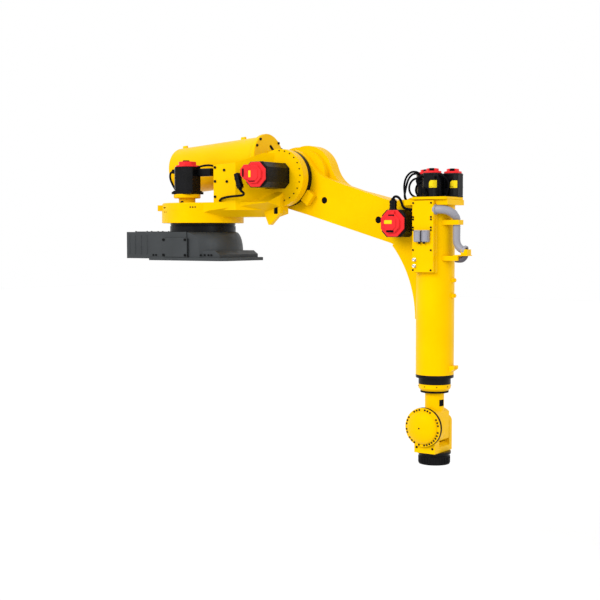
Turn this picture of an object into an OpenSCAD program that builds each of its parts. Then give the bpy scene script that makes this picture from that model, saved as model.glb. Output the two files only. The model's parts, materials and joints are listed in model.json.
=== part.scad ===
// Six-axis industrial robot arm for a raised stand.
// The slewing axis stands on the mounting face; +X points along the arm, +Z up, +Y to the far side.

/* [Reach] */
// Height of the shoulder pivot above the mounting face
j2_height = 567; // [540:1:620]
// Distance from the slewing axis forward to the shoulder pivot
j2_reach = 655; // [630:1:720]
// Distance between the shoulder and elbow pivots
arm_len = 1047; // [950:1:1200]
// Angle of the lower arm below level
arm_drop = 17.6; // [10:0.1:25]
// Distance from the elbow pivot forward to the forearm axis
forearm_offset = 210; // [200:1:240]
// Distance from the elbow pivot down to the wrist pivot
forearm_len = 1262; // [1150:1:1450]
// Distance from the wrist pivot to the tool face
wrist_len = 244; // [236:1:260]

/* [Base] */
// Height of the pedestal
base_h = 200; // [180:1:220]
// Width of the pedestal's rear body
base_w = 490; // [460:1:500]
// Length of the casting behind the slewing axis
base_rear = 290; // [270:1:320]
// Length of the foot plate in front of the slewing axis
foot_front = 375; // [345:1:400]
// How far the foot plate stands out beside the rear body
foot_lip = 5; // [1:0.5:30]
// Thickness of the foot plate
foot_t = 22; // [18:1:30]
// Radius of the pedestal's flared foot
flare_r = 285; // [270:1:300]
// Length of the connector box behind the casting
box_len = 220; // [180:1:260]
// Radius of the slewing ring
ring_r = 233; // [215:1:240]
// Height of the slewing ring
ring_h = 62; // [50:1:80]
// Radius of a mounting bolt hole
foot_bolt_r = 13; // [9:0.5:14]

/* [Turret] */
// Radius of the turret's round foot
turret_r = 290; // [280:1:310]
// Thickness of the turret's round foot
turret_t = 85; // [70:1:95]
// Height of the deck above the round foot
deck_h = 55; // [45:1:65]
// Near face of the turret's wall, measured from the arm's middle plane
wall_near = 180; // [165:1:200]
// Far face of the turret's wall, measured from the arm's middle plane
wall_far = 80; // [74:1:84]
// Radius of the shoulder drum
drum_r = 196; // [190:1:205]
// Gap round the shoulder motor in its pocket
pocket_gap = 4; // [2:0.5:10]

/* [Motors] */
// Side of the large motors
motor_side = 165; // [150:1:176]
// Length of the slewing motor
j1_motor_len = 190; // [160:1:220]
// Length of the shoulder motor
j2_motor_len = 266; // [240:1:290]
// Length of the elbow motor
j3_motor_len = 125; // [100:1:140]
// Depth of a large motor's cap
cap_t = 28; // [22:1:40]
// Side of the wrist motors
wrist_motor_side = 106; // [90:1:108]
// Length of the wrist motors
wrist_motor_len = 147; // [120:1:170]

/* [Balancer] */
// Radius of the balancer cylinder
bal_r = 168; // [150:1:170]
// Length of the balancer cylinder
bal_len = 755; // [640:1:860]
// Upward slope of the balancer towards the arm
bal_tilt = 4.3; // [0:0.1:6]

/* [Lower arm] */
// Gap between the middle plane and the lower arm's near face
arm_near = 130; // [130:1:150]
// Thickness of the lower arm's near wall
arm_wall_t = 60; // [50:1:70]
// Thickness of the lower arm's web
arm_web_t = 45; // [30:1:60]
// Thickness of the lower arm's far wall
arm_far_t = 95; // [80:1:110]
// Radius of the lower arm's shoulder end
arm_r1 = 198; // [190:1:205]
// Radius of the lower arm's elbow end
arm_r2 = 172; // [160:1:180]
// Height of the beam above the line between the pivots
beam_up = 85; // [70:1:100]
// Radius of the round pockets in the near wall
arm_hole_r = 23; // [15:1:28]

/* [Forearm] */
// Radius of the elbow hub
hub_r = 150; // [140:1:158]
// Radius of the forearm tube at its top
tube_r_top = 121; // [116:1:122]
// Radius of the forearm tube at its lower end
tube_r_end = 119; // [112:1:121]
// Width of the side cover
cover_w = 146; // [134:1:150]
// Height of the side cover
cover_h = 440; // [400:1:460]
// Thickness of the side cover
cover_t = 26; // [15:1:35]
// Radius of the grey conduit
conduit_r = 24; // [18:1:26]

/* [Wrist] */
// Radius of the wrist collar
collar_r = 101; // [95:1:105]
// Radius of the wrist neck
neck_r = 60; // [50:1:60]
// Radius of the wrist drum
wrist_drum_r = 110; // [100:1:112]
// Radius of the round wrist cover
disc_r = 121; // [112:1:124]
// Width of the wrist nose
nose_w = 144; // [130:1:146]
// Radius of the tool flange
flange_r = 97; // [92:1:100]
// Diameter of the tool flange's bolt circle
flange_pcd = 125; // [110:1:140]
// Radius of a tool bolt hole
flange_hole_r = 5.5; // [4:0.5:6]
// Radius of the tool flange's locating bore
pilot_r = 40; // [31.5:0.5:45]

/* [Fits] */
// Running gap at a bearing face
run_gap = 0.3; // [0.2:0.1:0.5]
// Clear gap between moving castings
move_gap = 6; // [5:0.5:8]

/* [Hidden] */
$fn = 64;
eps = 1;
yellow = "#ffd800";
grey = "#4b4e50";
black = "#1c1c1f";
red = "#e8303c";
steel = "#a9abb3";

// Pivots
j3_x = j2_reach + arm_len * cos(arm_drop);
j3_z = j2_height - arm_len * sin(arm_drop);
j4_x = j3_x + forearm_offset;
j5_z = j3_z - forearm_len;
tool_z = j5_z - wrist_len;
turret_z = base_h + ring_h;
deck_z = turret_z + turret_t;
deck_top = deck_z + deck_h;

// Base details
foot_w = base_w + 2 * foot_lip;
foot_clip = 40;
foot_bolt_x = 250;
foot_bolt_in = 50;
foot_bolt_depth = 60;
flare_z = 65;
flare_steps = 8;
flare_in = 7;
body_front = 50;
toe_x = 322;
ramp_z = 70;
step_in = 25;
box_lift = 12;
box_side_in = 4;
rib_t = 8;
rib_out = 8;
rib_count = 4;
rib_low = 30;
rib_high = 20;
side_cover_t = 12;
side_cover_back = 160;
side_cover_front = 62;
side_cover_lift = 3;
side_cover_top = 158;
panel_t = 14;
panel_in = 30;
socket_r = 30;
socket_len = 26;
socket_pitch = 110;
ring_low_share = 0.66;
ring_neck_share = 0.75;
ring_neck_in = 6;
ring_top_in = 3;

// Turret details
deck_near = 222;
deck_in = 2;
deck_edge = 8;
wall_back = 240;
wall_top = 658;
wall_mid_x = 430;
wall_mid_top = 668;
wall_rise_x = 560;
wall_rise_z = 735;
front_x = 686;
belly_z = 302;
taper_x = 615;
nose_bend_x = 230;
nose_tip_x = 640;
nose_tip_y = 100;
front_y = 18;
shelf_z = 470;
shelf_y = 20;
under_z = 345;
under_turn = 16.6;
under_rise = 7.3;
under_slope = 29.2;
under_size = j2_reach + deck_near;
drum_face_y = 16;
lug_tip_z = 247;
lug_x = [546, 588, 602];
lug_z0 = 340;
lug_z1 = 326;
lug_top = 400;
lug_t = 36;
slot_x = 648;
slot_w = 16;
slot_z = 330;
slot_h = 42;
slot_d = 10;
rear_lug_r = 317;
rear_lug_turn = 214.5;
rear_lug_w = 90;
rear_lug_h = 41;
j1_motor_x = -20;
j1_motor_y = -150;
j1_foot_r = 58;
j1_foot_h = 33;
j1_flange_r = 94;
j1_flange_h = 28;
j1_side_share = 0.92;
j1_cut_share = 0.27;
j1_cap_share = 0.765;
j1_cap_t = 35;
j2_motor_lift = 12;
motor_cut_share = 0.2;
cap_cut_share = 0.2929;
cap_base_share = 0.45;
cap_top_share = 0.7;
ear_len = 40;
ear_h = 95;
ear_t = 18;
plug_w = 60;
plug_d = 46;
plug_h = 104;
plug_lift = -35;
plug_back = 12;
cable_r = 8;
cable_sides = 10;
seal_in = 4;

// Balancer details
bal_y = 275;
bal_front_in = 303.5;
bal_front_x = j2_reach - bal_front_in;
bal_front_z = 710.5;
bal_head_t = 34;
bal_head_r = 183;
bal_cap_t = 45;
bal_gland_r = 60;
bal_gland_t = 26;
bal_lug_rear = 27;
bal_lug_front = 183;
bal_lug_at = [bal_lug_rear - bal_len, -bal_lug_front];
bal_lug_w = 36;
bal_lug_t = 26;
bal_lug_h = 18;
bal_lug_top_share = 0.5;
bracket_in = 136;
bracket_top = 643;
bracket_w = 110;
bracket_far = 250;

// Lower arm details
fillet_r1 = 300;
fillet_r2 = 150;
web_in = 34;
web_r1 = 145;
web_r2 = 140;
hole1_u = 325;
hole2_u = 770;
hole_v = -60;
hole_depth = 50;
pin_u = 60;
pin_v = 185;
pin_r = 22;
pin_out = 10;
far_r1 = 219;
hump_at = [67, 37];
hump_r = 212;
hump_step = 30;
hump_turn = 35;
hump_fillet = 230;
arc_steps = 20;
stop_angle = -20;
stop_in = 192;
stop_out = 258;
stop_w = 88;
stop_t = 44;

// Forearm details
hub_near = 40;
hub_far = 100;
web_near = 40;
web_far = 95;
web_hub_x = -77;
web_hub_z = -140;
web_end_z = -600;
pad_near = 130;
pad_in = 4;
tube_top = 145;
tube_end = 943;
top_t = 33;
top_back = 150;
top_front = 150;
top_near = 130;
top_far = 90;
plate_t = 17;
plate_back = 145;
plate_front = 150;
plate_near = 150;
plate_far = 95;
plate_cut_x = 60;
plate_cut_y = 110;
seat_gap = 0.2;
plate_round = 24;
cover_top = 139;
cover_shift = -7;
wrist_cap_t = 36;
m4_x = 15;
m4_y = -72;
m5_x = 97;
m5_y = 40;
m6_x = -87;
m6_y = 40;
j3_plug_r = 22;
j3_plug_h = 62;
j3_plug_x = -19;
block_w = 100;
block_h = 72;
block_t = 8;
block_out = 30;
block_z = -79;
block_shift = -6;
block_gap = 10;
clamp_h = 30;
clamp_w = 66;
clamp_wall = 5;
clamp_gap = 1;
clamp_low_front = 196;
ledge_back = 165;
ledge_front = 262;
ledge_t = 6;
clamp_top_z = 5;
clamp_low_z = -215;
small_lug_out = 15;
small_lug_w = 30;
small_lug_h = 24;
lug_z = [-364, -460];
big_lug_z = -923;
big_lug_h = 40;
big_lug_w = 60;
big_lug_out = 30;
j4_ring_h = 60;
j4_ring_low_r = 101;
j4_ring_low_share = 0.65;
j3_seal_r = 130;

// Wrist details
collar_h = 26;
collar_chamfer = 16;
drum_near = 60;
drum_far = 60;
wrist_boss_r = 55;
neck_pocket_w = 37;
neck_pocket_h = 41;
neck_pocket_d = 12;
neck_pocket_z = 121;
neck_pocket_turn = -14;
cheek_near = 128;
cheek_r = 115;
far_out = 100;
far_top = 58;
far_round = 40;
nose_drop = 165;
nose_top = 109;
nose_cut = [31, 22];
disc_t = 29;
disc_dome = 45;
disc_seam = 8;
disc_seam_in = 5;
disc_rim = 17;
flange_ring_r = 105;
flange_ring_h = 14;
flange_groove_r = 90;
flange_groove_h = 12;
flange_holes = 6;
flange_hole_depth = 20;
pilot_depth = 12;

// Helpers

// Slab between two planes across Y, from an outline drawn in X and Z
module slab_y(y0, y1) {
    translate([0, y1, 0])
        rotate([90, 0, 0])
            linear_extrude(height = y1 - y0)
                children();
}

// Round bar along Y
module bar_y(r, y0, y1) {
    translate([0, y0, 0])
        rotate([-90, 0, 0])
            cylinder(h = y1 - y0, r = r);
}

// Square with cut corners, centred
module cut_square(side, share) {
    h = side / 2;
    c = side * share;
    polygon([[-h, c - h], [c - h, -h], [h - c, -h], [h, c - h], [h, h - c], [h - c, h], [c - h, h],
        [-h, h - c]]);
}

module at_j2() {
    translate([j2_reach, 0, j2_height])
        children();
}

module at_j3() {
    translate([j3_x, 0, j3_z])
        children();
}

module at_j4() {
    translate([j4_x, 0, j3_z])
        children();
}

module at_j5() {
    translate([j4_x, 0, j5_z])
        children();
}

function unit(v) = v / norm(v);
function side_of(t) = unit(cross(abs(t[2]) > 0.9 ? [0, 1, 0] : [0, 0, 1], t));
function turned(s, t) = unit(s - t * (s * t));
function tangent_at(p, i) = unit(p[min(i + 1, len(p) - 1)] - p[max(i - 1, 0)]);
function carried(p, i) = i == 0 ? side_of(tangent_at(p, 0)) : turned(carried(p, i - 1), tangent_at(p, i));

// Round cable or pipe along a row of points
module swept(p, r, n) {
    m = len(p);
    rings = [for (i = [0 : m - 1])
        let (t = tangent_at(p, i), a = carried(p, i), b = cross(t, a))
            for (k = [0 : n - 1]) p[i] + r * (cos(360 * k / n) * a + sin(360 * k / n) * b)];
    sides = [for (i = [0 : m - 2]) for (k = [0 : n - 1])
        [i * n + k, (i + 1) * n + k, (i + 1) * n + (k + 1) % n, i * n + (k + 1) % n]];
    first = [for (k = [0 : n - 1]) k];
    last = [for (k = [n - 1 : -1 : 0]) (m - 1) * n + k];
    polyhedron(points = rings, faces = concat(sides, [first, last]));
}

// Base

module foot_outline() {
    h = foot_w / 2;
    polygon([[-base_rear, -h], [foot_front - foot_clip, -h], [foot_front, foot_clip - h],
        [foot_front, h - foot_clip], [foot_front - foot_clip, h], [-base_rear, h]]);
}

module flare() {
    rotate_extrude()
        polygon(concat([[0, 0], [flare_r, 0]],
            [for (i = [0 : flare_steps]) let (t = 90 * i / flare_steps)
                [ring_r + (flare_r - ring_r) * cos(t), flare_z + (base_h - flare_z) * sin(t)]],
            [[0, base_h]]));
}

module base_casting() {
    color(grey)
        difference() {
            union() {
                linear_extrude(height = foot_t)
                    foot_outline();
                slab_y(step_in - base_w / 2, base_w / 2 - step_in)
                    polygon([[-base_rear, 0], [toe_x, 0], [toe_x, 2 * foot_t], [flare_r, ramp_z],
                        [-base_rear, ramp_z]]);
                intersection() {
                    flare();
                    translate([-flare_r, flare_in - base_w / 2, 0])
                        cube([2 * flare_r, base_w - 2 * flare_in, base_h]);
                }
                translate([-base_rear, -base_w / 2, 0])
                    cube([base_rear + body_front, base_w, base_h]);
            }
            for (x = [-foot_bolt_x, foot_bolt_x])
                for (y = [foot_bolt_in - foot_w / 2, foot_w / 2 - foot_bolt_in])
                    translate([x, y, -eps])
                        cylinder(h = foot_bolt_depth + eps, r = foot_bolt_r);
        }
}

module base_connector_box() {
    color(grey)
        union() {
            translate([-base_rear - box_len, box_side_in - base_w / 2, box_lift])
                cube([box_len, base_w - 2 * box_side_in, base_h - box_lift]);
            for (s = [-1, 1])
                for (i = [0 : rib_count - 1])
                    translate([-base_rear - box_len + (i + 0.5) * box_len / rib_count - rib_t / 2,
                        s * (base_w / 2 - box_side_in) - rib_out / 2, box_lift + rib_low])
                        cube([rib_t, rib_out, base_h - box_lift - rib_low - rib_high]);
        }
}

module base_side_cover() {
    low = foot_t + side_cover_lift;
    color(grey)
        slab_y(-base_w / 2 - side_cover_t, -base_w / 2)
            polygon([[-side_cover_back, low], [side_cover_front, low],
                [side_cover_front, side_cover_top], [-side_cover_back, side_cover_top]]);
}

module base_connector_panel() {
    color(grey)
        union() {
            translate([-base_rear - box_len - panel_t, panel_in - base_w / 2, box_lift + panel_in])
                cube([panel_t, base_w - 2 * panel_in, base_h - box_lift - 2 * panel_in]);
            for (s = [-1, 0, 1])
                translate([-base_rear - box_len, s * socket_pitch, base_h / 2])
                    rotate([0, -90, 0])
                        cylinder(h = panel_t + socket_len, r = socket_r);
        }
}

module slew_ring() {
    h = ring_h - run_gap;
    color(black)
        translate([0, 0, base_h])
            union() {
                cylinder(h = h * ring_low_share, r = ring_r);
                cylinder(h = h * ring_neck_share, r = ring_r - ring_neck_in);
                translate([0, 0, h * ring_neck_share])
                    cylinder(h = h * (1 - ring_neck_share), r = ring_r - ring_top_in);
            }
}

// Turret

// Wall seen from the side
module wall_side() {
    polygon([[wall_back, deck_z], [wall_back, wall_top], [wall_mid_x, wall_mid_top],
        [wall_rise_x, wall_rise_z], [j2_reach, wall_rise_z], [j2_reach, deck_z]]);
}

// Wall seen from above, drawn in to the drum's face
module wall_plan() {
    polygon([[wall_back, -wall_near], [wall_mid_x, -wall_near], [taper_x, drum_face_y],
        [j2_reach, drum_face_y], [j2_reach, wall_far], [wall_back, wall_far]]);
}

// Nose seen from the side
module nose_side() {
    polygon([[0, belly_z], [front_x, belly_z], [front_x, shelf_z], [wall_back, shelf_z],
        [wall_back, deck_top], [0, deck_top]]);
}

// Nose seen from above
module nose_plan() {
    polygon([[0, -deck_near], [nose_bend_x, -deck_near], [nose_tip_x, -nose_tip_y], [front_x, -front_y],
        [front_x, wall_far], [0, wall_far]]);
}

// Nose seen from the front
module nose_front() {
    polygon([[-deck_near, belly_z], [wall_far, belly_z], [wall_far, shelf_z], [shelf_y, shelf_z],
        [-nose_tip_y, deck_top], [-deck_near, deck_top]]);
}

// Nose under the drum, its near lower edge undercut along a rising line
module turret_nose() {
    difference() {
        intersection() {
            slab_y(-deck_near, wall_far)
                nose_side();
            translate([0, 0, belly_z])
                linear_extrude(height = shelf_z - belly_z)
                    nose_plan();
            rotate([90, 0, 90])
                linear_extrude(height = front_x)
                    nose_front();
        }
        translate([nose_bend_x, -deck_near, under_z])
            rotate([0, 0, under_turn])
                rotate([0, -under_rise, 0])
                    rotate([-under_slope, 0, 0])
                        translate([-under_size, -under_size, -under_size])
                            cube([2 * under_size, 2 * under_size, under_size]);
    }
}

// Hanging lug with its slot
module turret_lug() {
    difference() {
        slab_y(-lug_t / 2, lug_t / 2)
            polygon([[lug_x[0], lug_top], [lug_x[0], lug_z0], [lug_x[1], lug_tip_z], [lug_x[2], lug_tip_z],
                [front_x, lug_z1], [front_x, lug_top]]);
        translate([slot_x, -lug_t / 2 - eps, slot_z])
            cube([slot_w, slot_d + eps, slot_h]);
    }
}

module turret_casting() {
    deck_r = turret_r - deck_in;
    pocket_side = motor_side + 2 * pocket_gap;
    color(yellow)
        difference() {
            union() {
                translate([0, 0, turret_z])
                    cylinder(h = turret_t, r = turret_r);
                translate([0, 0, deck_z])
                    cylinder(h = deck_h - deck_edge, r = deck_r);
                translate([0, 0, deck_top - deck_edge])
                    cylinder(h = deck_edge, r1 = deck_r, r2 = deck_r - deck_edge);
                translate([0, 0, deck_z])
                    rotate([0, 0, rear_lug_turn])
                        translate([0, -rear_lug_w / 2, 0])
                            cube([rear_lug_r, rear_lug_w, rear_lug_h]);
                turret_nose();
                turret_lug();
                intersection() {
                    slab_y(-wall_near, wall_far)
                        wall_side();
                    translate([0, 0, deck_z])
                        linear_extrude(height = wall_rise_z - deck_z)
                            wall_plan();
                }
                at_j2()
                    bar_y(drum_r, drum_face_y, wall_far);
            }
            at_j2()
                translate([-pocket_side / 2, -wall_near, j2_motor_lift - pocket_side / 2])
                    cube([pocket_side, wall_near + drum_face_y, pocket_side]);
        }
}

module motor_body(side, len, share) {
    linear_extrude(height = len)
        cut_square(side, share);
}

module motor_cap(side, len) {
    union() {
        linear_extrude(height = len * cap_base_share)
            cut_square(side, cap_cut_share);
        linear_extrude(height = len)
            cut_square(side * cap_top_share, cap_cut_share);
    }
}

module at_j1_motor() {
    translate([j1_motor_x, j1_motor_y, deck_top])
        children();
}

module j1_motor_flange() {
    color(yellow)
        at_j1_motor()
            union() {
                cylinder(h = j1_foot_h + j1_flange_h, r = j1_foot_r);
                translate([0, 0, j1_foot_h])
                    cylinder(h = j1_flange_h, r = j1_flange_r);
            }
}

module j1_motor() {
    color(black)
        at_j1_motor()
            translate([0, 0, j1_foot_h + j1_flange_h])
                motor_body(motor_side * j1_side_share, j1_motor_len, j1_cut_share);
}

module j1_motor_cap() {
    color(red)
        at_j1_motor()
            translate([0, 0, j1_foot_h + j1_flange_h + j1_motor_len])
                motor_cap(motor_side * j1_cap_share, j1_cap_t);
}

module at_j2_motor(y) {
    at_j2()
        translate([0, y, j2_motor_lift])
            rotate([90, 0, 0])
                children();
}

module j2_motor() {
    color(black)
        at_j2_motor(drum_face_y)
            motor_body(motor_side, j2_motor_len, motor_cut_share);
}

module j2_motor_cap() {
    color(red)
        at_j2_motor(drum_face_y - j2_motor_len)
            union() {
                motor_cap(motor_side, cap_t);
                translate([-motor_side / 2 - ear_len, -ear_h / 2, 0])
                    cube([ear_len + motor_side / 2, ear_h, ear_t]);
            }
}

j2_plug = [j2_reach - motor_side / 2 - ear_len - plug_w, drum_face_y - j2_motor_len - plug_back,
    j2_height + j2_motor_lift + plug_lift - plug_h / 2];

module j2_motor_plug() {
    color(black)
        translate(j2_plug)
            cube([plug_w, plug_d, plug_h]);
}

j2_cable_path = [[0, 0, -seat_gap], [0, 0, -10], [7, 1, -20], [18, 3, -28], [25, 5, -36], [21, 7, -44],
    [4, 10, -49], [-50, 17, -52], [-110, 26, -55], [-160, 36, -60], [-194, 43, -67], [-209, 47, -76],
    [-212, 47, -83], [-212, 47, -87]];

module j2_motor_cable() {
    start = j2_plug + [plug_w - 2 * cable_r, plug_d / 2, 0];
    color(black)
        swept([for (q = j2_cable_path) start + q], cable_r, cable_sides);
}

module j2_seal_ring() {
    color(black)
        at_j2()
            bar_y(drum_r - seal_in, wall_far, arm_near - run_gap);
}

// Balancer

module at_balancer() {
    translate([bal_front_x, bal_y, bal_front_z])
        rotate([0, 90 - bal_tilt, 0])
            children();
}

// Lifting lug seen along the balancer
module balancer_lug() {
    out = bal_r + bal_lug_h;
    half = bal_lug_t / 2;
    top = half * bal_lug_top_share;
    polygon([[0, -half], [-bal_r, -half], [-out, -top], [-out, top], [-bal_r, half], [0, half]]);
}

module balancer_cylinder() {
    color(yellow)
        at_balancer()
            union() {
                translate([0, 0, -bal_len])
                    cylinder(h = bal_len, r = bal_r);
                for (z = bal_lug_at)
                    translate([0, 0, z - bal_lug_w / 2])
                        linear_extrude(height = bal_lug_w)
                            balancer_lug();
            }
}

module balancer_head() {
    color(yellow)
        at_balancer()
            union() {
                cylinder(h = bal_head_t, r = bal_head_r);
                cylinder(h = bal_head_t + bal_gland_t, r = bal_gland_r);
            }
}

module balancer_rear_cap() {
    color(yellow)
        at_balancer()
            translate([0, 0, -bal_len])
                rotate_extrude()
                    polygon(concat([[0, 0]], [for (i = [0 : flare_steps]) let (t = 90 * i / flare_steps)
                        [bal_r * cos(t), -bal_cap_t * sin(t)]]));
}

module balancer_bracket() {
    color(yellow)
        difference() {
            translate([bal_front_x - bracket_in, wall_far, deck_top])
                cube([bracket_w, bracket_far - wall_far, bracket_top - deck_top]);
            at_balancer()
                translate([0, 0, -bal_len])
                    cylinder(h = bal_len, r = bal_r + run_gap);
        }
}

// Lower arm

module at_arm() {
    at_j2()
        rotate([0, arm_drop, 0])
            children();
}

// Fillet centres between the beam's upper edge and the two round ends
f1 = [sqrt((arm_r1 + fillet_r1) ^ 2 - (beam_up + fillet_r1) ^ 2), beam_up + fillet_r1];
f2 = [arm_len - sqrt((arm_r2 + fillet_r2) ^ 2 - (beam_up + fillet_r2) ^ 2), beam_up + fillet_r2];
elbow = [arm_len, 0];
f1_angle = atan2(f1[1], f1[0]);
f2_angle = atan2(f2[1], f2[0] - arm_len);

// Points along an arc, without its first one
function arc(c, r, from, to) = [for (i = [1 : arc_steps])
    let (a = from + (to - from) * i / arc_steps) c + r * [cos(a), sin(a)]];

// Angle of the lower tangent of two circles
function low_angle(ra, rb) = -90 - asin((ra - rb) / arm_len);

// The round elbow end and its fillet, from the lower edge to the beam's upper edge
function elbow_end(a) = concat([elbow + arm_r2 * [cos(a), sin(a)]], arc(elbow, arm_r2, a, f2_angle),
    arc(f2, fillet_r2, f2_angle + 180, 270));

module near_outline() {
    a = low_angle(arm_r1, arm_r2);
    polygon(concat(arc([0, 0], arm_r1, f1_angle, 360 + a), elbow_end(a), [[f1[0], beam_up]],
        arc(f1, fillet_r1, 270, 180 + f1_angle)));
}

module web_outline() {
    a = low_angle(web_r1, web_r2);
    top = beam_up - web_in;
    polygon(concat(arc([0, 0], web_r1, asin(top / web_r1), 360 + a), [elbow + web_r2 * [cos(a), sin(a)]],
        arc(elbow, web_r2, a, 180 - asin(top / web_r2))));
}

// The far wall carries a round hump over the shoulder that runs out in a fillet
hump_end = hump_at + (hump_r + hump_fillet) * [cos(hump_turn), sin(hump_turn)];
hump_d = norm(hump_at);
hump_along = (far_r1 ^ 2 - hump_r ^ 2 + hump_d ^ 2) / (2 * hump_d);
hump_across = sqrt(far_r1 ^ 2 - hump_along ^ 2);
hump_meet = (hump_along * hump_at + hump_across * [-hump_at[1], hump_at[0]]) / hump_d;

module far_outline() {
    a = low_angle(far_r1, arm_r2);
    from_hump = hump_meet - hump_at;
    polygon(concat([[hump_end[0], hump_end[1] - hump_fillet]],
        arc(hump_end, hump_fillet, 270, 180 + hump_turn),
        arc(hump_at, hump_r, hump_turn, atan2(from_hump[1], from_hump[0])),
        arc([0, 0], far_r1, atan2(hump_meet[1], hump_meet[0]), 360 + a), elbow_end(a)));
}

module lower_arm_casting() {
    y1 = arm_near + arm_wall_t;
    y2 = y1 + arm_web_t;
    y3 = y2 + arm_far_t;
    color(yellow)
        at_arm()
            difference() {
                union() {
                    slab_y(arm_near, y1)
                        near_outline();
                    slab_y(y1 - eps, y2 + eps)
                        web_outline();
                    translate([hump_at[0], 0, hump_at[1]])
                        bar_y(hump_r - hump_step, y1 - eps, y2 + eps);
                    slab_y(y2, y3)
                        far_outline();
                }
                for (u = [hole1_u, hole2_u])
                    translate([u, 0, hole_v])
                        bar_y(arm_hole_r, arm_near - eps, arm_near + hole_depth);
                translate([pin_u, 0, pin_v])
                    bar_y(pin_r + run_gap, y2 + pin_out, y3 + eps);
            }
}

module lower_arm_stop() {
    color(yellow)
        at_arm()
            rotate([0, -stop_angle, 0])
                translate([stop_in, arm_near - stop_t, -stop_w / 2])
                    cube([stop_out - stop_in, stop_t, stop_w]);
}

module balancer_pin() {
    y2 = arm_near + arm_wall_t + arm_web_t;
    color(steel)
        at_arm()
            translate([pin_u, 0, pin_v])
                bar_y(pin_r, y2 + pin_out + run_gap, y2 + arm_far_t + pin_out);
}

// Forearm

// Hollow edge from the hub down to the tube, upright where it meets the tube
web_foot = [forearm_offset - tube_r_top, web_end_z];
web_reach = web_foot - [web_hub_x, web_hub_z];
web_r = (web_reach * web_reach) / (2 * web_reach[0]);
web_turn = asin(-web_reach[1] / web_r);

module forearm_web() {
    polygon(concat([[0, 0], [web_hub_x, web_hub_z]], arc(web_foot - [web_r, 0], web_r, web_turn, 0),
        [[forearm_offset, web_end_z], [forearm_offset, tube_top], [0, tube_top]]));
}

module big_lug() {
    out = tube_r_end + big_lug_out;
    polygon([[0, big_lug_z], [tube_r_end, big_lug_z], [out, big_lug_z + big_lug_h / 2],
        [out, big_lug_z + big_lug_h], [0, big_lug_z + big_lug_h]]);
}

module forearm_casting() {
    color(yellow)
        union() {
            at_j3()
                bar_y(hub_r, -hub_near, hub_far);
            at_j3()
                slab_y(-web_near, web_far)
                    forearm_web();
            at_j4()
                translate([0, 0, -tube_end])
                    cylinder(h = tube_end + tube_top, r1 = tube_r_end, r2 = tube_r_top);
            at_j4()
                translate([cover_shift - cover_w / 2 - pad_in, -pad_near, cover_top - cover_h - pad_in])
                    cube([cover_w + 2 * pad_in, pad_near, cover_h + pad_in]);
            at_j4()
                translate([-top_back, -top_near, tube_top - top_t])
                    cube([top_back + top_front, top_near + top_far, top_t]);
            at_j4()
                for (z = lug_z)
                    translate([0, -small_lug_w / 2, z])
                        cube([tube_r_top + small_lug_out, small_lug_w, small_lug_h]);
            at_j4()
                slab_y(-big_lug_w / 2, big_lug_w / 2)
                    big_lug();
        }
}

module forearm_cover() {
    color(yellow)
        at_j4()
            slab_y(-pad_near - cover_t, -pad_near)
                translate([cover_shift, 0])
                    polygon([[-cover_w / 2, cover_top - cover_h], [cover_w / 2, cover_top - cover_h],
                        [cover_w / 2, cover_top], [-cover_w / 2, cover_top]]);
}

module motor_plate() {
    r = plate_round;
    color(yellow)
        at_j4()
            translate([0, 0, tube_top + seat_gap])
                linear_extrude(height = plate_t - seat_gap)
                    polygon(concat([[-plate_back, plate_far], [-plate_back, plate_cut_y - plate_near],
                        [plate_cut_x - plate_back, -plate_near], [plate_front - r, -plate_near]],
                        arc([plate_front - r, r - plate_near], r, -90, 0), [[plate_front, plate_far - r]],
                        arc([plate_front - r, plate_far - r], r, 0, 90)));
}

module j3_motor() {
    color(black)
        at_j3()
            translate([0, -hub_near, 0])
                rotate([90, 0, 0])
                    motor_body(motor_side, j3_motor_len, motor_cut_share);
}

module j3_motor_cap() {
    color(red)
        at_j3()
            translate([0, -hub_near - j3_motor_len, 0])
                rotate([90, 0, 0])
                    motor_cap(motor_side, cap_t);
}

j3_plug_y = 3 * j3_plug_r / 2 - hub_near - j3_motor_len;

module j3_motor_plug() {
    color(black)
        at_j3()
            translate([j3_plug_x, j3_plug_y, motor_side / 2])
                cylinder(h = j3_plug_h, r = j3_plug_r);
}

j3_cable_path = [[0, 0, seat_gap], [0, 0, 7], [3, 0, 15], [10, 0, 21], [22, 0, 23], [36, 0, 18],
    [47, 0, 8], [55, 1, -6], [61, 2, -22], [66, 3, -36], [74, 5, -47], [88, 8, -54], [108, 11, -58],
    [126, 13, -59], [140, 14, -59]];

module j3_motor_cable() {
    color(black)
        at_j3()
            translate([j3_plug_x, j3_plug_y, motor_side / 2 + j3_plug_h])
                swept(j3_cable_path, cable_r, cable_sides);
}

module j3_seal_ring() {
    color(black)
        at_j3()
            bar_y(j3_seal_r, hub_far, arm_near - run_gap);
}

module at_wrist_motor(x, y) {
    at_j4()
        translate([x, y, tube_top + plate_t])
            children();
}

module j4_motor() {
    color(black)
        at_wrist_motor(m4_x, m4_y)
            motor_body(wrist_motor_side, wrist_motor_len, motor_cut_share);
}

module j4_motor_cap() {
    color(red)
        at_wrist_motor(m4_x, m4_y)
            translate([0, 0, wrist_motor_len])
                motor_cap(wrist_motor_side, wrist_cap_t);
}

module j5_motor() {
    color(black)
        at_wrist_motor(m5_x, m5_y)
            motor_body(wrist_motor_side, wrist_motor_len, motor_cut_share);
}

module j5_motor_cap() {
    color(red)
        at_wrist_motor(m5_x, m5_y)
            translate([0, 0, wrist_motor_len])
                motor_cap(wrist_motor_side, wrist_cap_t);
}

module j6_motor() {
    color(black)
        at_wrist_motor(m6_x, m6_y)
            motor_body(wrist_motor_side, wrist_motor_len, motor_cut_share);
}

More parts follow.
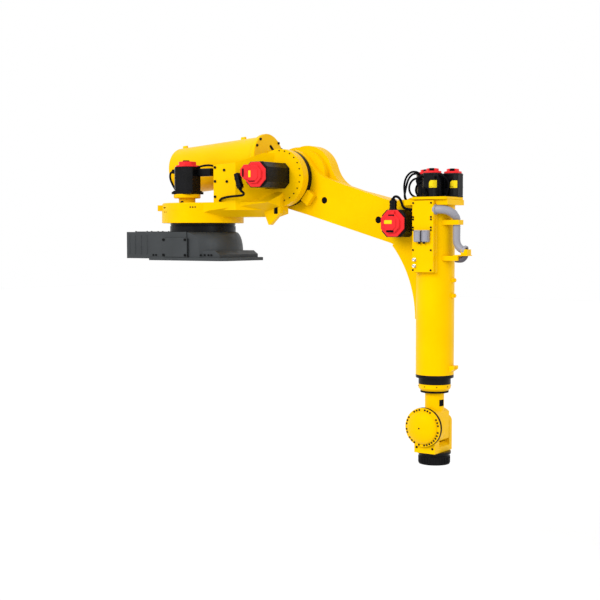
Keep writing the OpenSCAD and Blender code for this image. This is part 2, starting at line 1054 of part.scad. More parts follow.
module j6_motor_cap() {
    color(red)
        at_wrist_motor(m6_x, m6_y)
            translate([0, 0, wrist_motor_len])
                motor_cap(wrist_motor_side, wrist_cap_t);
}

module panel_connectors() {
    color(steel)
        at_j4()
            translate([block_shift, -pad_near - cover_t, block_z])
                union() {
                    translate([-block_w / 2, -block_t, -block_h / 2])
                        cube([block_w, block_t, block_h]);
                    for (s = [-1, 1])
                        translate([s > 0 ? block_gap / 2 : -block_w / 2, -block_out, -block_h / 2])
                            cube([(block_w - block_gap) / 2, block_out, block_h]);
                }
}

conduit_from = cover_shift + cover_w / 2 + pad_in + run_gap;
conduit_path = [[conduit_from, -128, 84], [88, -128, 84], [111, -124, 83], [131, -115, 80], [149, -101, 72],
    [162, -84, 60], [169, -68, 46], [172, -56, 34], [172, -50, 23], [172, -50, -40],
    [172, -50, -100], [176, -50, -124], [187, -50, -144], [206, -50, -159], [230, -50, -168]];
conduit_at = [172, -50];

module conduit() {
    color(steel)
        at_j4()
            swept(conduit_path, conduit_r, cable_sides);
}

// Block that reaches out from the tube
module clamp_arm(z, front) {
    difference() {
        translate([0, conduit_at[1] - clamp_w / 2, z - clamp_h / 2])
            cube([front, clamp_w, clamp_h]);
        translate([0, 0, -tube_end])
            cylinder(h = tube_end + tube_top, r1 = tube_r_end + run_gap, r2 = tube_r_top + run_gap);
        translate([-tube_r_top, -pad_near - tube_r_top, z - clamp_h])
            cube([tube_r_top + conduit_from, pad_near + tube_r_top, 2 * clamp_h]);
    }
}

module conduit_clamp_upper() {
    color(yellow)
        at_j4()
            difference() {
                clamp_arm(clamp_top_z, conduit_at[0] + conduit_r + clamp_wall);
                translate([conduit_at[0], conduit_at[1], clamp_top_z - clamp_h])
                    cylinder(h = 2 * clamp_h, r = conduit_r + clamp_gap);
            }
}

module conduit_clamp_lower() {
    color(yellow)
        at_j4()
            union() {
                clamp_arm(clamp_low_z, clamp_low_front);
                translate([ledge_back, conduit_at[1] - clamp_w / 2, clamp_low_z + clamp_h / 2])
                    cube([ledge_front - ledge_back, clamp_w, ledge_t]);
            }
}

module j4_seal_ring() {
    h = j4_ring_h - run_gap;
    color(black)
        at_j4()
            translate([0, 0, -tube_end - h])
                union() {
                    cylinder(h = h, r = j4_ring_low_r);
                    translate([0, 0, h * j4_ring_low_share])
                        cylinder(h = h * (1 - j4_ring_low_share), r = tube_r_end);
                }
}

// Wrist

module wrist_neck() {
    top = forearm_len - tube_end - j4_ring_h;
    color(yellow)
        at_j5()
            difference() {
                union() {
                    translate([0, 0, top - collar_h])
                        cylinder(h = collar_h, r = collar_r);
                    translate([0, 0, top - collar_h - collar_chamfer])
                        cylinder(h = collar_chamfer, r1 = collar_r - collar_chamfer, r2 = collar_r);
                    cylinder(h = top - collar_h, r = neck_r);
                    intersection() {
                        bar_y(wrist_drum_r, -drum_near, drum_far);
                        translate([-nose_w / 2, -drum_near, -wrist_drum_r])
                            cube([nose_w, drum_near + drum_far, 2 * wrist_drum_r]);
                    }
                }
                rotate([0, 0, neck_pocket_turn])
                    translate([neck_r - neck_pocket_d, -neck_pocket_w / 2, neck_pocket_z])
                        cube([2 * neck_pocket_d, neck_pocket_w, neck_pocket_h]);
            }
}

// Far cheek, its upper corners rounded
module far_cheek() {
    h = nose_w / 2;
    r = far_round;
    polygon(concat([[-h, -nose_drop], [h, -nose_drop], [h, far_top - r]], arc([h - r, far_top - r], r, 0, 90),
        [[r - h, far_top]], arc([r - h, far_top - r], r, 90, 180)));
}

// Nose below the drum, its upper corners cut so that it clears the neck at full bend
module nose_roof() {
    h = nose_w / 2;
    polygon([[-h, -nose_drop], [h, -nose_drop], [h, -nose_top - nose_cut[1]], [h - nose_cut[0], -nose_top],
        [nose_cut[0] - h, -nose_top], [-h, -nose_top - nose_cut[1]]]);
}

module wrist_fork() {
    h = nose_w / 2;
    color(yellow)
        at_j5()
            difference() {
                union() {
                    slab_y(-cheek_near, -drum_near - move_gap)
                        union() {
                            circle(cheek_r);
                            translate([-h, -nose_drop])
                                square([nose_w, nose_drop]);
                        }
                    slab_y(drum_far + move_gap, far_out)
                        far_cheek();
                    slab_y(-cheek_near, far_out)
                        nose_roof();
                    for (s = [-1, 1])
                        bar_y(wrist_boss_r, s > 0 ? drum_far + run_gap : -drum_near - move_gap - eps,
                            s > 0 ? drum_far + move_gap + eps : -drum_near - run_gap);
                }
                bar_y(wrist_drum_r + move_gap, -drum_near - run_gap, drum_far + run_gap);
            }
}

// Round cover with a seam behind its rim and a low dome inside its bolt circle
module j5_cover() {
    dome_r = disc_r - disc_rim;
    seam_r = disc_r - disc_seam_in;
    color(yellow)
        at_j5()
            translate([0, -cheek_near, 0])
                rotate([90, 0, 0])
                    rotate_extrude()
                        polygon(concat([[0, 0], [seam_r, 0], [seam_r, disc_seam], [disc_r, disc_seam],
                            [disc_r, disc_t]],
                            [for (i = [0 : flare_steps]) let (t = 90 * i / flare_steps)
                                [dome_r * cos(t), disc_t + disc_dome * sin(t)]]));
}

module tool_flange() {
    h = wrist_len - nose_drop - run_gap;
    color(black)
        translate([j4_x, 0, tool_z])
            difference() {
                union() {
                    cylinder(h = h - flange_ring_h - flange_groove_h, r = flange_r);
                    cylinder(h = h, r = flange_groove_r);
                    translate([0, 0, h - flange_ring_h])
                        cylinder(h = flange_ring_h, r = flange_ring_r);
                }
                translate([0, 0, -eps])
                    cylinder(h = pilot_depth + eps, r = pilot_r);
                for (i = [0 : flange_holes - 1])
                    rotate([0, 0, 360 * i / flange_holes])
                        translate([flange_pcd / 2, 0, -eps])
                            cylinder(h = flange_hole_depth + eps, r = flange_hole_r);
            }
}

base_casting();
base_connector_box();
base_side_cover();
base_connector_panel();
slew_ring();
turret_casting();
j1_motor_flange();
j1_motor();
j1_motor_cap();
j2_motor();
j2_motor_cap();
j2_motor_plug();
j2_motor_cable();
j2_seal_ring();
balancer_cylinder();
balancer_head();
balancer_rear_cap();
balancer_bracket();
lower_arm_casting();
lower_arm_stop();
balancer_pin();
forearm_casting();
forearm_cover();
motor_plate();
j3_motor();
j3_motor_cap();
j3_motor_plug();
j3_motor_cable();
j3_seal_ring();
j4_motor();
j4_motor_cap();
j5_motor();
j5_motor_cap();
j6_motor();
j6_motor_cap();
panel_connectors();
conduit();
conduit_clamp_upper();
conduit_clamp_lower();
j4_seal_ring();
wrist_neck();
wrist_fork();
j5_cover();
tool_flange();
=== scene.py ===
"""Dresses the six-axis robot arm: paint, eased edges, screws, leads, hose and the studio."""

import json
import math

import bpy
from mathutils import Matrix, Vector


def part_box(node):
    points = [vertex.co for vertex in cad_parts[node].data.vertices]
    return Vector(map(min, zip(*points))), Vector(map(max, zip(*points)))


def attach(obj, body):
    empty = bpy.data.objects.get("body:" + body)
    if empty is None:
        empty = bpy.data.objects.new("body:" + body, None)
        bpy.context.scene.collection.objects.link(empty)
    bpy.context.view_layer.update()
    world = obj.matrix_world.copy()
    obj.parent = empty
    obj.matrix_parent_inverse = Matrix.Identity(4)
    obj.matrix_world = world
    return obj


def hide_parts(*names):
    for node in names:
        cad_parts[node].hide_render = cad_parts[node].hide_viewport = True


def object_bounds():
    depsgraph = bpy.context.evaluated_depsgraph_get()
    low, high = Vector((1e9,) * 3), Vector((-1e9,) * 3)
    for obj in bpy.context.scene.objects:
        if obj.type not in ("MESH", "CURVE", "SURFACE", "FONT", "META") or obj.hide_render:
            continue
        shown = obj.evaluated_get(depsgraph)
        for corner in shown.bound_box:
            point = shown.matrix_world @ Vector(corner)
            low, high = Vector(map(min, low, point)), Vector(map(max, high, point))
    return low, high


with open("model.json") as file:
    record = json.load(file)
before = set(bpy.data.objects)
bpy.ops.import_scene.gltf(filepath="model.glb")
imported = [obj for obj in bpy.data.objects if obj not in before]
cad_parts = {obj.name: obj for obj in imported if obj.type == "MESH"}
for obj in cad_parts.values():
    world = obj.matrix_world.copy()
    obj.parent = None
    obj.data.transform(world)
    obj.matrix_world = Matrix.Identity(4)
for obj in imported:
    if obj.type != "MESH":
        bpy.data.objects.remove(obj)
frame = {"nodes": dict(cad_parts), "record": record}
CAD_BOX = [list(corner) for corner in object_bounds()]

bl_info = {
    "name": "Robot Arm Dressing",
    "version": (1, 0, 0),
    "blender": (4, 5, 0),
    "location": "View3D > Sidebar > Robot Arm",
    "description": "Paints and details the six-axis robot arm",
    "category": "Object",
}

NODES = frame["nodes"]
NEAR = Vector((0.0, -1.0, 0.0))
FAR = Vector((0.0, 1.0, 0.0))
UP = Vector((0.0, 0.0, 1.0))
DOWN = Vector((0.0, 0.0, -1.0))
FRONT = Vector((1.0, 0.0, 0.0))
BACK = Vector((-1.0, 0.0, 0.0))


def mm(x, y, z):
    """A point or step given in millimetres."""
    return Vector((x, y, z)) * 0.001


def spot(node, x=0.5, y=0.5, z=0.5):
    """A point of a solid's box, by shares of its sides. A share left out is the middle."""
    low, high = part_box(node)
    return Vector([start + share * (end - start) for start, end, share in zip(low, high, (x, y, z))])


def spoke(degrees):
    """A step of one metre at that angle, in the upright plane of the arm."""
    return Vector((math.cos(math.radians(degrees)), 0.0, math.sin(math.radians(degrees))))


def outward(degrees):
    """A step of one metre at that angle, in the level plane."""
    return Vector((math.cos(math.radians(degrees)), math.sin(math.radians(degrees)), 0.0))


SHOULDER = spot("j2_seal_ring")
ELBOW = spot("j3_seal_ring")
ROLL = spot("j4_seal_ring")
WRIST = spot("j5_cover")
ARM_DROP = 17.6
BALANCER_TILT = 4.3
BALANCER_WAY = spoke(BALANCER_TILT)
BALANCER_RISE = spoke(BALANCER_TILT + 90.0)


def forearm_point(x, y, z):
    """A point in millimetres from the forearm's roll axis at the elbow's height."""
    return Vector((ROLL.x, 0.0, ELBOW.z)) + mm(x, y, z)


def cover_point(x, z):
    """A point on the face of the forearm's cover, in millimetres as above."""
    point = forearm_point(x, 0, z)
    point.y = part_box("forearm_cover")[0].y
    return point


def shoulder_exit(radius):
    """Where a lead of that radius leaves the shoulder motor's plug."""
    return spot("j2_motor_plug", 1.0, 0.5, 0.0) - 2 * radius * FRONT


# Sizes and colours


class ArmPaint(bpy.types.PropertyGroup):
    """Colours of the arm's finishes"""

    yellow: bpy.props.FloatVectorProperty(
        name="Yellow paint",
        description="Colour of the moving castings",
        subtype="COLOR",
        size=3,
        min=0.0,
        max=1.0,
        default=(0.74, 0.425, 0.0),
    )
    grey: bpy.props.FloatVectorProperty(
        name="Grey paint",
        description="Colour of the base",
        subtype="COLOR",
        size=3,
        min=0.0,
        max=1.0,
        default=(0.0243, 0.0262, 0.0275),
    )
    black: bpy.props.FloatVectorProperty(
        name="Black enamel",
        description="Colour of motors and rings",
        subtype="COLOR",
        size=3,
        min=0.0,
        max=1.0,
        default=(0.0020, 0.0020, 0.0025),
    )
    red: bpy.props.FloatVectorProperty(
        name="Red caps",
        description="Colour of the motor caps",
        subtype="COLOR",
        size=3,
        min=0.0,
        max=1.0,
        default=(0.645, 0.024, 0.027),
    )
    hose: bpy.props.FloatVectorProperty(
        name="Hose grey",
        description="Colour of the hose and its connectors",
        subtype="COLOR",
        size=3,
        min=0.0,
        max=1.0,
        default=(0.235, 0.232, 0.262),
    )
    steel: bpy.props.FloatVectorProperty(
        name="Bright steel",
        description="Colour of bare steel fittings",
        subtype="COLOR",
        size=3,
        min=0.0,
        max=1.0,
        default=(0.62, 0.63, 0.65),
    )


class ArmEdges(bpy.types.PropertyGroup):
    """How far the edges of the solids are eased"""

    casting: bpy.props.FloatProperty(
        name="Casting edge",
        description="Width of the eased edges of castings",
        unit="LENGTH",
        default=0.006,
        min=0.0005,
    )
    plate: bpy.props.FloatProperty(
        name="Plate edge",
        description="Width of the eased edges of plates and covers",
        unit="LENGTH",
        default=0.003,
        min=0.0005,
    )
    motor: bpy.props.FloatProperty(
        name="Motor edge",
        description="Width of the eased edges of motors and caps",
        unit="LENGTH",
        default=0.0035,
        min=0.0005,
    )


class ArmFittings(bpy.types.PropertyGroup):
    """Sizes of screws, leads and hose"""

    small_screw: bpy.props.FloatProperty(
        name="Small screw",
        description="Head radius of the cover screws",
        unit="LENGTH",
        default=0.0058,
        min=0.001,
    )
    large_screw: bpy.props.FloatProperty(
        name="Large screw",
        description="Head radius of the housing bolts",
        unit="LENGTH",
        default=0.0095,
        min=0.001,
    )
    motor_lead: bpy.props.FloatProperty(
        name="Motor lead",
        description="Radius of the leads from the large motors",
        unit="LENGTH",
        default=0.008,
        min=0.001,
    )
    wrist_lead: bpy.props.FloatProperty(
        name="Wrist lead",
        description="Radius of the leads round the wrist motors",
        unit="LENGTH",
        default=0.0065,
        min=0.001,
    )
    hose_radius: bpy.props.FloatProperty(
        name="Hose radius",
        description="Outer radius of the ribbed hose",
        unit="LENGTH",
        default=0.024,
        min=0.001,
    )


class ArmStage(bpy.types.PropertyGroup):
    """Camera, lamps and floor of the studio"""

    floor_drop: bpy.props.FloatProperty(
        name="Floor drop",
        description="Gap between the tool flange and the floor",
        unit="LENGTH",
        default=1.3,
        min=0.0,
    )
    camera_place: bpy.props.FloatVectorProperty(
        name="Camera place",
        description="Where the camera stands",
        subtype="TRANSLATION",
        size=3,
        default=(5.413, -6.658, 0.178),
    )
    camera_turn: bpy.props.FloatVectorProperty(
        name="Camera turn",
        description="Turn of the camera",
        subtype="EULER",
        size=3,
        default=(math.radians(86.9), 0.0, math.radians(34.5)),
    )
    sky: bpy.props.FloatProperty(
        name="Sky light",
        description="Strength of the white surroundings",
        default=1.0,
        min=0.0,
    )
    key_power: bpy.props.FloatProperty(
        name="Key light",
        description="Strength of the broad light from the left",
        default=2.05,
        min=0.0,
    )
    fill_power: bpy.props.FloatProperty(
        name="Fill light",
        description="Strength of the soft light from the right",
        default=0.9,
        min=0.0,
    )
    key_spread: bpy.props.FloatProperty(
        name="Key spread",
        description="How wide each light is, seen from the arm",
        subtype="ANGLE",
        default=math.radians(32.0),
        min=0.0,
    )


# Finishes

SCREW_BLACK = (0.003, 0.003, 0.0035)
PLATE_YELLOW = (0.66, 0.50, 0.01)
ELBOW_GREY = (0.075, 0.070, 0.082)
FLOOR_WHITE = (0.76, 0.76, 0.76)
TONE_STOPS = (0.32, 0.68)
GLOSS_STOPS = (0.3, 0.7)


def open_finish(name, roughness, metallic=0.0):
    """A new finish and what its texture nodes need."""
    material = bpy.data.materials.new(name)
    material.use_nodes = True
    tree = material.node_tree
    shader = tree.nodes["Principled BSDF"]
    shader.inputs["Roughness"].default_value = roughness
    shader.inputs["Metallic"].default_value = metallic
    place = tree.nodes.new("ShaderNodeTexCoord").outputs["Object"]
    return material, tree, shader, place


def mottle(tree, place, scale, detail=3.0):
    """Soft noise of the given scale."""
    noise = tree.nodes.new("ShaderNodeTexNoise")
    noise.inputs["Scale"].default_value = scale
    noise.inputs["Detail"].default_value = detail
    tree.links.new(place, noise.inputs["Vector"])
    return noise.outputs["Fac"]


def drift_colour(tree, shader, noise, colour, low, high):
    """Lets the colour drift between a darker and a lighter tone, as shares of it."""
    ramp = tree.nodes.new("ShaderNodeValToRGB")
    for element, stop, share in zip(ramp.color_ramp.elements, TONE_STOPS, (low, high)):
        element.position = stop
        element.color = (*[min(1.0, part * share) for part in colour], 1.0)
    tree.links.new(noise, ramp.inputs["Fac"])
    tree.links.new(ramp.outputs["Color"], shader.inputs["Base Color"])


def drift_gloss(tree, shader, noise, low, high):
    """Lets the roughness drift between two values."""
    span = tree.nodes.new("ShaderNodeMapRange")
    span.inputs["From Min"].default_value = GLOSS_STOPS[0]
    span.inputs["From Max"].default_value = GLOSS_STOPS[1]
    span.inputs["To Min"].default_value = low
    span.inputs["To Max"].default_value = high
    tree.links.new(noise, span.inputs["Value"])
    tree.links.new(span.outputs["Result"], shader.inputs["Roughness"])


def relief(tree, shader, layers):
    """Stacks bumps, each a height, a strength and a depth in metres."""
    below = None
    for height, strength, depth in layers:
        bump = tree.nodes.new("ShaderNodeBump")
        bump.inputs["Strength"].default_value = strength
        bump.inputs["Distance"].default_value = depth
        tree.links.new(height, bump.inputs["Height"])
        if below:
            tree.links.new(below, bump.inputs["Normal"])
        below = bump.outputs["Normal"]
    tree.links.new(below, shader.inputs["Normal"])


def tinted_shine(shader, colour, level):
    """Gloss that takes up some of the colour, so strong light doesn't wash it out."""
    shader.inputs["Specular IOR Level"].default_value = level
    shader.inputs["Specular Tint"].default_value = (*[part / max(colour) for part in colour], 1.0)


def casting_paint(name, colour, low, high, gloss, shine):
    """Sprayed paint over a casting: a drifting tone, orange peel and soft casting pits."""
    material, tree, shader, place = open_finish(name, gloss)
    drift_colour(tree, shader, mottle(tree, place, scale=3.5, detail=5.0), colour, low, high)
    drift_gloss(tree, shader, mottle(tree, place, scale=28.0), gloss - 0.07, gloss + 0.09)
    pits = mottle(tree, place, scale=22.0, detail=4.0)
    peel = mottle(tree, place, scale=420.0, detail=2.0)
    relief(tree, shader, [(pits, 0.25, 0.0012), (peel, 0.2, 0.0004)])
    tinted_shine(shader, colour, shine)
    return material


def enamel(name, colour, gloss):
    """Black enamel with a powdery grain."""
    material, tree, shader, place = open_finish(name, gloss)
    shader.inputs["Specular IOR Level"].default_value = 0.11
    drift_colour(tree, shader, mottle(tree, place, scale=16.0, detail=5.0), colour, low=0.7, high=1.5)
    drift_gloss(tree, shader, mottle(tree, place, scale=60.0), gloss - 0.08, gloss + 0.12)
    relief(tree, shader, [(mottle(tree, place, scale=650.0, detail=2.0), 0.3, 0.0003)])
    return material


def moulding(name, colour, gloss, grain, shine=0.3):
    """Moulded plastic or rubber with an etched grain."""
    material, tree, shader, place = open_finish(name, gloss)
    tinted_shine(shader, colour, shine)
    drift_colour(tree, shader, mottle(tree, place, scale=9.0, detail=4.0), colour, low=0.92, high=1.06)
    drift_gloss(tree, shader, mottle(tree, place, scale=45.0), gloss - 0.06, gloss + 0.08)
    cells = tree.nodes.new("ShaderNodeTexVoronoi")
    cells.inputs["Scale"].default_value = grain
    tree.links.new(place, cells.inputs["Vector"])
    relief(tree, shader, [(cells.outputs["Distance"], 0.18, 0.0003)])
    return material


def bare_metal(name, colour, gloss):
    """Turned metal with faint tool marks."""
    material, tree, shader, place = open_finish(name, gloss, metallic=1.0)
    drift_colour(tree, shader, mottle(tree, place, scale=70.0, detail=4.0), colour, low=0.85, high=1.1)
    drift_gloss(tree, shader, mottle(tree, place, scale=180.0), gloss - 0.08, gloss + 0.1)
    relief(tree, shader, [(mottle(tree, place, scale=900.0, detail=2.0), 0.15, 0.0002)])
    return material


def floor_finish(name):
    """Pale matt floor with a faint mottle."""
    material, tree, shader, place = open_finish(name, roughness=0.85)
    drift_colour(tree, shader, mottle(tree, place, scale=0.8, detail=4.0), FLOOR_WHITE, low=0.99, high=1.01)
    drift_gloss(tree, shader, mottle(tree, place, scale=5.0), low=0.8, high=0.9)
    return material


def finish(name):
    """The finish of that name, made on first use beside the flat one that the solids come with."""
    title = f"arm_{name}"
    known = bpy.data.materials.get(title)
    if known:
        return known
    paint = bpy.context.scene.arm_paint
    makers = {
        "yellow_paint": lambda: casting_paint(title, paint.yellow, low=0.93, high=1.04, gloss=0.36, shine=0.11),
        "grey_paint": lambda: casting_paint(title, paint.grey, low=0.82, high=1.15, gloss=0.46, shine=0.3),
        "black_metal": lambda: enamel(title, paint.black, gloss=0.3),
        "red_cap": lambda: moulding(title, paint.red, gloss=0.36, grain=700.0),
        "grey_metal": lambda: moulding(title, paint.hose, gloss=0.44, grain=500.0),
        "black_rubber": lambda: moulding(title, paint.black, gloss=0.55, grain=600.0, shine=0.05),
        "screw_black": lambda: enamel(title, SCREW_BLACK, gloss=0.4),
        "bright_steel": lambda: bare_metal(title, paint.steel, gloss=0.28),
        "plate_yellow": lambda: moulding(title, PLATE_YELLOW, gloss=0.3, grain=900.0),
        "dark_moulding": lambda: moulding(title, ELBOW_GREY, gloss=0.5, grain=600.0),
        "pale_floor": lambda: floor_finish(title),
    }
    return makers[name]()


# Modelling


def put_down():
    """Leaves edit mode with nothing selected."""
    if bpy.context.object and bpy.context.object.mode != "OBJECT":
        bpy.ops.object.mode_set(mode="OBJECT")
    bpy.ops.object.select_all(action="DESELECT")


def take(piece):
    """Selects one piece alone."""
    put_down()
    piece.select_set(True)
    bpy.context.view_layer.objects.active = piece


def pick(piece, kind):
    """Object mode, with no face or edge of the piece selected, ready to select that kind."""
    take(piece)
    bpy.ops.object.mode_set(mode="EDIT")
    bpy.ops.mesh.select_mode(type=kind)
    bpy.ops.mesh.select_all(action="DESELECT")
    bpy.ops.object.mode_set(mode="OBJECT")


def pick_faces(piece, test):
    """Edit mode, with only the faces selected whose centre and normal pass the test."""
    pick(piece, "FACE")
    for face in piece.data.polygons:
        face.select = test(face.center, face.normal)
    bpy.ops.object.mode_set(mode="EDIT")


def pick_edges(piece, test):
    """Edit mode, with only the edges selected whose two ends pass the test."""
    pick(piece, "EDGE")
    points = piece.data.vertices
    for edge in piece.data.edges:
        edge.select = test(points[edge.vertices[0]].co, points[edge.vertices[1]].co)
    bpy.ops.object.mode_set(mode="EDIT")


def bevel_picked(width, segments):
    """Bevels the picked edges and leaves edit mode."""
    bpy.ops.mesh.bevel(offset=width, segments=segments, affect="EDGES")
    put_down()


def round_bar(radius, height, sides):
    """An upright bar on the origin."""
    put_down()
    bpy.ops.mesh.primitive_cylinder_add(
        vertices=sides, radius=radius, depth=height, location=(0.0, 0.0, height / 2)
    )
    bpy.ops.object.transform_apply(location=True, rotation=True, scale=True)
    return bpy.context.object


def block(width, depth, height):
    """An upright block on the origin."""
    put_down()
    bpy.ops.mesh.primitive_cube_add(size=1.0, location=(0.0, 0.0, height / 2))
    piece = bpy.context.object
    piece.scale = (width, depth, height)
    bpy.ops.object.transform_apply(location=True, rotation=True, scale=True)
    return piece


def sink_top(piece, height, rim, depth):
    """Insets the top at that height and sinks what is inside the rim. A depth below zero raises it."""
    pick_faces(piece, lambda centre, normal: normal.z > 0.99 and abs(centre.z - height) < 1e-5)
    bpy.ops.mesh.inset(thickness=rim)
    bpy.ops.mesh.extrude_region_move(TRANSFORM_OT_translate={"value": (0.0, 0.0, -depth)})
    put_down()


def ease_upright(piece, width, segments):
    """Rounds the upright edges of a block."""
    pick_edges(piece, lambda a, b: abs(a.x - b.x) < 1e-6 and abs(a.y - b.y) < 1e-6)
    bevel_picked(width, segments)


def ease_all(piece, width, segments=2, angle=35.0):
    """Rounds every edge sharper than the angle, with an applied modifier."""
    take(piece)
    edge = piece.modifiers.new("eased", "BEVEL")
    edge.width = width
    edge.segments = segments
    edge.limit_method = "ANGLE"
    edge.angle_limit = math.radians(angle)
    bpy.ops.object.modifier_apply(modifier=edge.name)


def set_turned(piece, place, turned):
    """Takes a piece from the origin to a place, turned by a matrix."""
    piece.matrix_world = Matrix.Translation(place) @ turned
    take(piece)
    bpy.ops.object.transform_apply(location=True, rotation=True, scale=True)
    return piece


def stand(piece, place, axis=UP):
    """Takes a piece from the origin to its place, with its top along the axis."""
    turned = Matrix.Identity(4)
    if (axis - UP).length > 1e-6:
        turned = axis.to_track_quat("Z", "Y").to_matrix().to_4x4()
    return set_turned(piece, place, turned)


def joined(pieces):
    """One piece out of several."""
    put_down()
    for piece in pieces:
        piece.select_set(True)
    bpy.context.view_layer.objects.active = pieces[0]
    bpy.ops.object.join()
    return pieces[0]


def copies(pattern, places):
    """Copies a modelled pattern to each place and axis and joins the copies."""
    made = []
    for place, axis in places:
        twin = pattern.copy()
        twin.data = pattern.data.copy()
        bpy.context.collection.objects.link(twin)
        made.append(stand(twin, place, axis))
    bpy.data.objects.remove(pattern, do_unlink=True)
    return joined(made)


def settle(piece, name, body, slot, paint=None, angle=32.0):
    """Names, paints and smooths a finished piece and sets it on its body."""
    piece.name = name
    piece.data.name = name
    piece.data.materials.clear()
    piece.data.materials.append(finish(paint or slot))
    take(piece)
    bpy.ops.object.shade_smooth_by_angle(angle=math.radians(angle))
    shade = piece.modifiers.new("shade", "WEIGHTED_NORMAL")
    shade.keep_sharp = True
    bpy.ops.object.modifier_apply(modifier=shade.name)
    put_down()
    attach(piece, body)
    return piece


def eased_block(size, corner, steps, rim=0.0, sink=0.0, edge=0.0, edge_steps=2, edge_angle=35.0):
    """A block with rounded upright edges, a top sunk inside a rim, and eased edges."""
    piece = block(*size)
    ease_upright(piece, corner, steps)
    if rim:
        sink_top(piece, size[2], rim, sink)
    if edge:
        ease_all(piece, edge, edge_steps, edge_angle)
    return piece


def disc(radius, height, sides, sinks=(), edge=0.0, edge_steps=2, edge_angle=40.0):
    """A round piece with eased edges. Each sink is a rim and a depth, one inside the other."""
    piece = round_bar(radius, height, sides)
    level = height
    for rim, depth in sinks:
        sink_top(piece, level, rim, depth)
        level -= depth
    if edge:
        ease_all(piece, edge, edge_steps, edge_angle)
    return piece


def ring(outer, inner, height, sides, edge):
    """An upright ring with eased edges."""
    piece = round_bar(outer, height, sides)
    pick_faces(piece, lambda centre, normal: abs(normal.z) > 0.99)
    bpy.ops.mesh.inset(thickness=outer - inner)
    bpy.ops.mesh.bridge_edge_loops()
    put_down()
    ease_all(piece, edge, angle=50.0)
    return piece


def socket_screw(radius, height):
    """A cap screw with a sunk socket."""
    socket = (radius * 0.45, height * 0.55)
    return disc(radius, height, sides=14, sinks=[socket], edge=radius * 0.14, edge_steps=1, edge_angle=60.0)


def screws(name, body, places, radius, height):
    """Cap screws at each place and axis, as one black piece."""
    settle(copies(socket_screw(radius, height), places), name, body, "black_metal", "screw_black")


def washer_bolt(radius, height):
    """A hexagon bolt on its washer."""
    head = disc(radius, height, sides=6, sinks=[(radius * 0.18, -height * 0.12)])
    thickness = height * 0.28
    washer = disc(radius * 1.45, thickness, sides=20, edge=height * 0.08, edge_steps=1, edge_angle=60.0)
    return joined([washer, head])


def smooth_line(points, steps=8):
    """A smooth line through the points."""
    ends = [2 * points[0] - points[1]] + list(points) + [2 * points[-1] - points[-2]]
    line = []
    for a, b, c, d in zip(ends, ends[1:], ends[2:], ends[3:]):
        for step in range(steps):
            t = step / steps
            square = 2 * a - 5 * b + 4 * c - d
            cube = 3 * b - a - 3 * c + d
            line.append(0.5 * (2 * b + (c - a) * t + square * t**2 + cube * t**3))
    return line + [points[-1]]


def tube(name, line, radius, shares=None):
    """A tube along a line, made a mesh. The shares vary its radius from point to point."""
    put_down()
    data = bpy.data.curves.new(name, "CURVE")
    data.dimensions = "3D"
    data.bevel_depth = radius
    data.bevel_resolution = 5
    data.use_fill_caps = True
    spline = data.splines.new("POLY")
    spline.points.add(len(line) - 1)
    for point, place in zip(spline.points, line):
        point.co = (*place, 1.0)
    if shares:
        for point, share in zip(spline.points, shares):
            point.radius = share
    piece = bpy.data.objects.new(name, data)
    bpy.context.collection.objects.link(piece)
    take(piece)
    bpy.ops.object.convert(target="MESH")
    return bpy.context.object


def lead(name, points, radius, body):
    """A free lead between two places on the arm."""
    line = smooth_line(points)
    piece = settle(tube(name, line, radius), name, body, "black_rubber", angle=60.0)
    return piece


# Leads, first because they decide how much room the arm takes


class ARM_OT_motor_leads(bpy.types.Operator):
    """Lays the leads of the slewing, shoulder and elbow motors"""

    bl_idname = "arm.motor_leads"
    bl_label = "Motor leads"

    def execute(self, context):
        radius = context.scene.arm_fittings.motor_lead
        slewing_radius = radius * 0.9
        start = shoulder_exit(radius)
        route = [(0, 0, -0.2), (0, 0, -10), (7, 1, -20), (18, 3, -28), (25, 5, -36), (21, 7, -44), (4, 10, -49)]
        route += [(-50, 17, -52), (-110, 26, -55), (-160, 36, -60), (-194, 43, -67), (-209, 47, -76)]
        route += [(-212, 47, -83), (-212, 47, -87)]
        piece = lead("shoulder_lead", [start + mm(*step) for step in route], radius, "turret")
        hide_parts("j2_motor_cable")
        start = spot("j3_motor_plug", z=1.0)
        route = [(0, 0, 0.2), (0, 0, 7), (3, 0, 15), (10, 0, 21), (22, 0, 23), (36, 0, 18), (47, 0, 8)]
        route += [(55, 1, -6), (61, 2, -22), (66, 3, -36), (74, 5, -47), (88, 8, -54), (108, 11, -58)]
        route += [(126, 13, -59), (140, 14, -59)]
        piece = lead("elbow_lead", [start + mm(*step) for step in route], radius, "forearm")
        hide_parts("j3_motor_cable")
        left = spot("j1_motor", x=0.0, z=1.0)
        route = [(-60, 20, -27), (-76, 21, -28), (-92, 23, -36), (-100, 24, -54), (-96, 24, -82)]
        route += [(-82, 24, -110), (-64, 23, -136), (-44, 20, -158), (-24, 17, -170), (-2, 14, -174)]
        lead("slewing_loop", [left + mm(*step) for step in route], slewing_radius, "turret")
        right = spot("j1_motor", x=1.0, z=1.0)
        wall = mm(240, 0, 0).x
        route = [(0, 10, -12), (22, 12, -2), (56, 22, 6), (92, 26, 8), (130, 26, 4), (160, 24, -6)]
        points = [right + mm(*step) for step in route]
        points.append(Vector((wall, right.y, right.z)) + mm(0, 22, -12))
        lead("slewing_lead", points, slewing_radius, "turret")
        return {"FINISHED"}


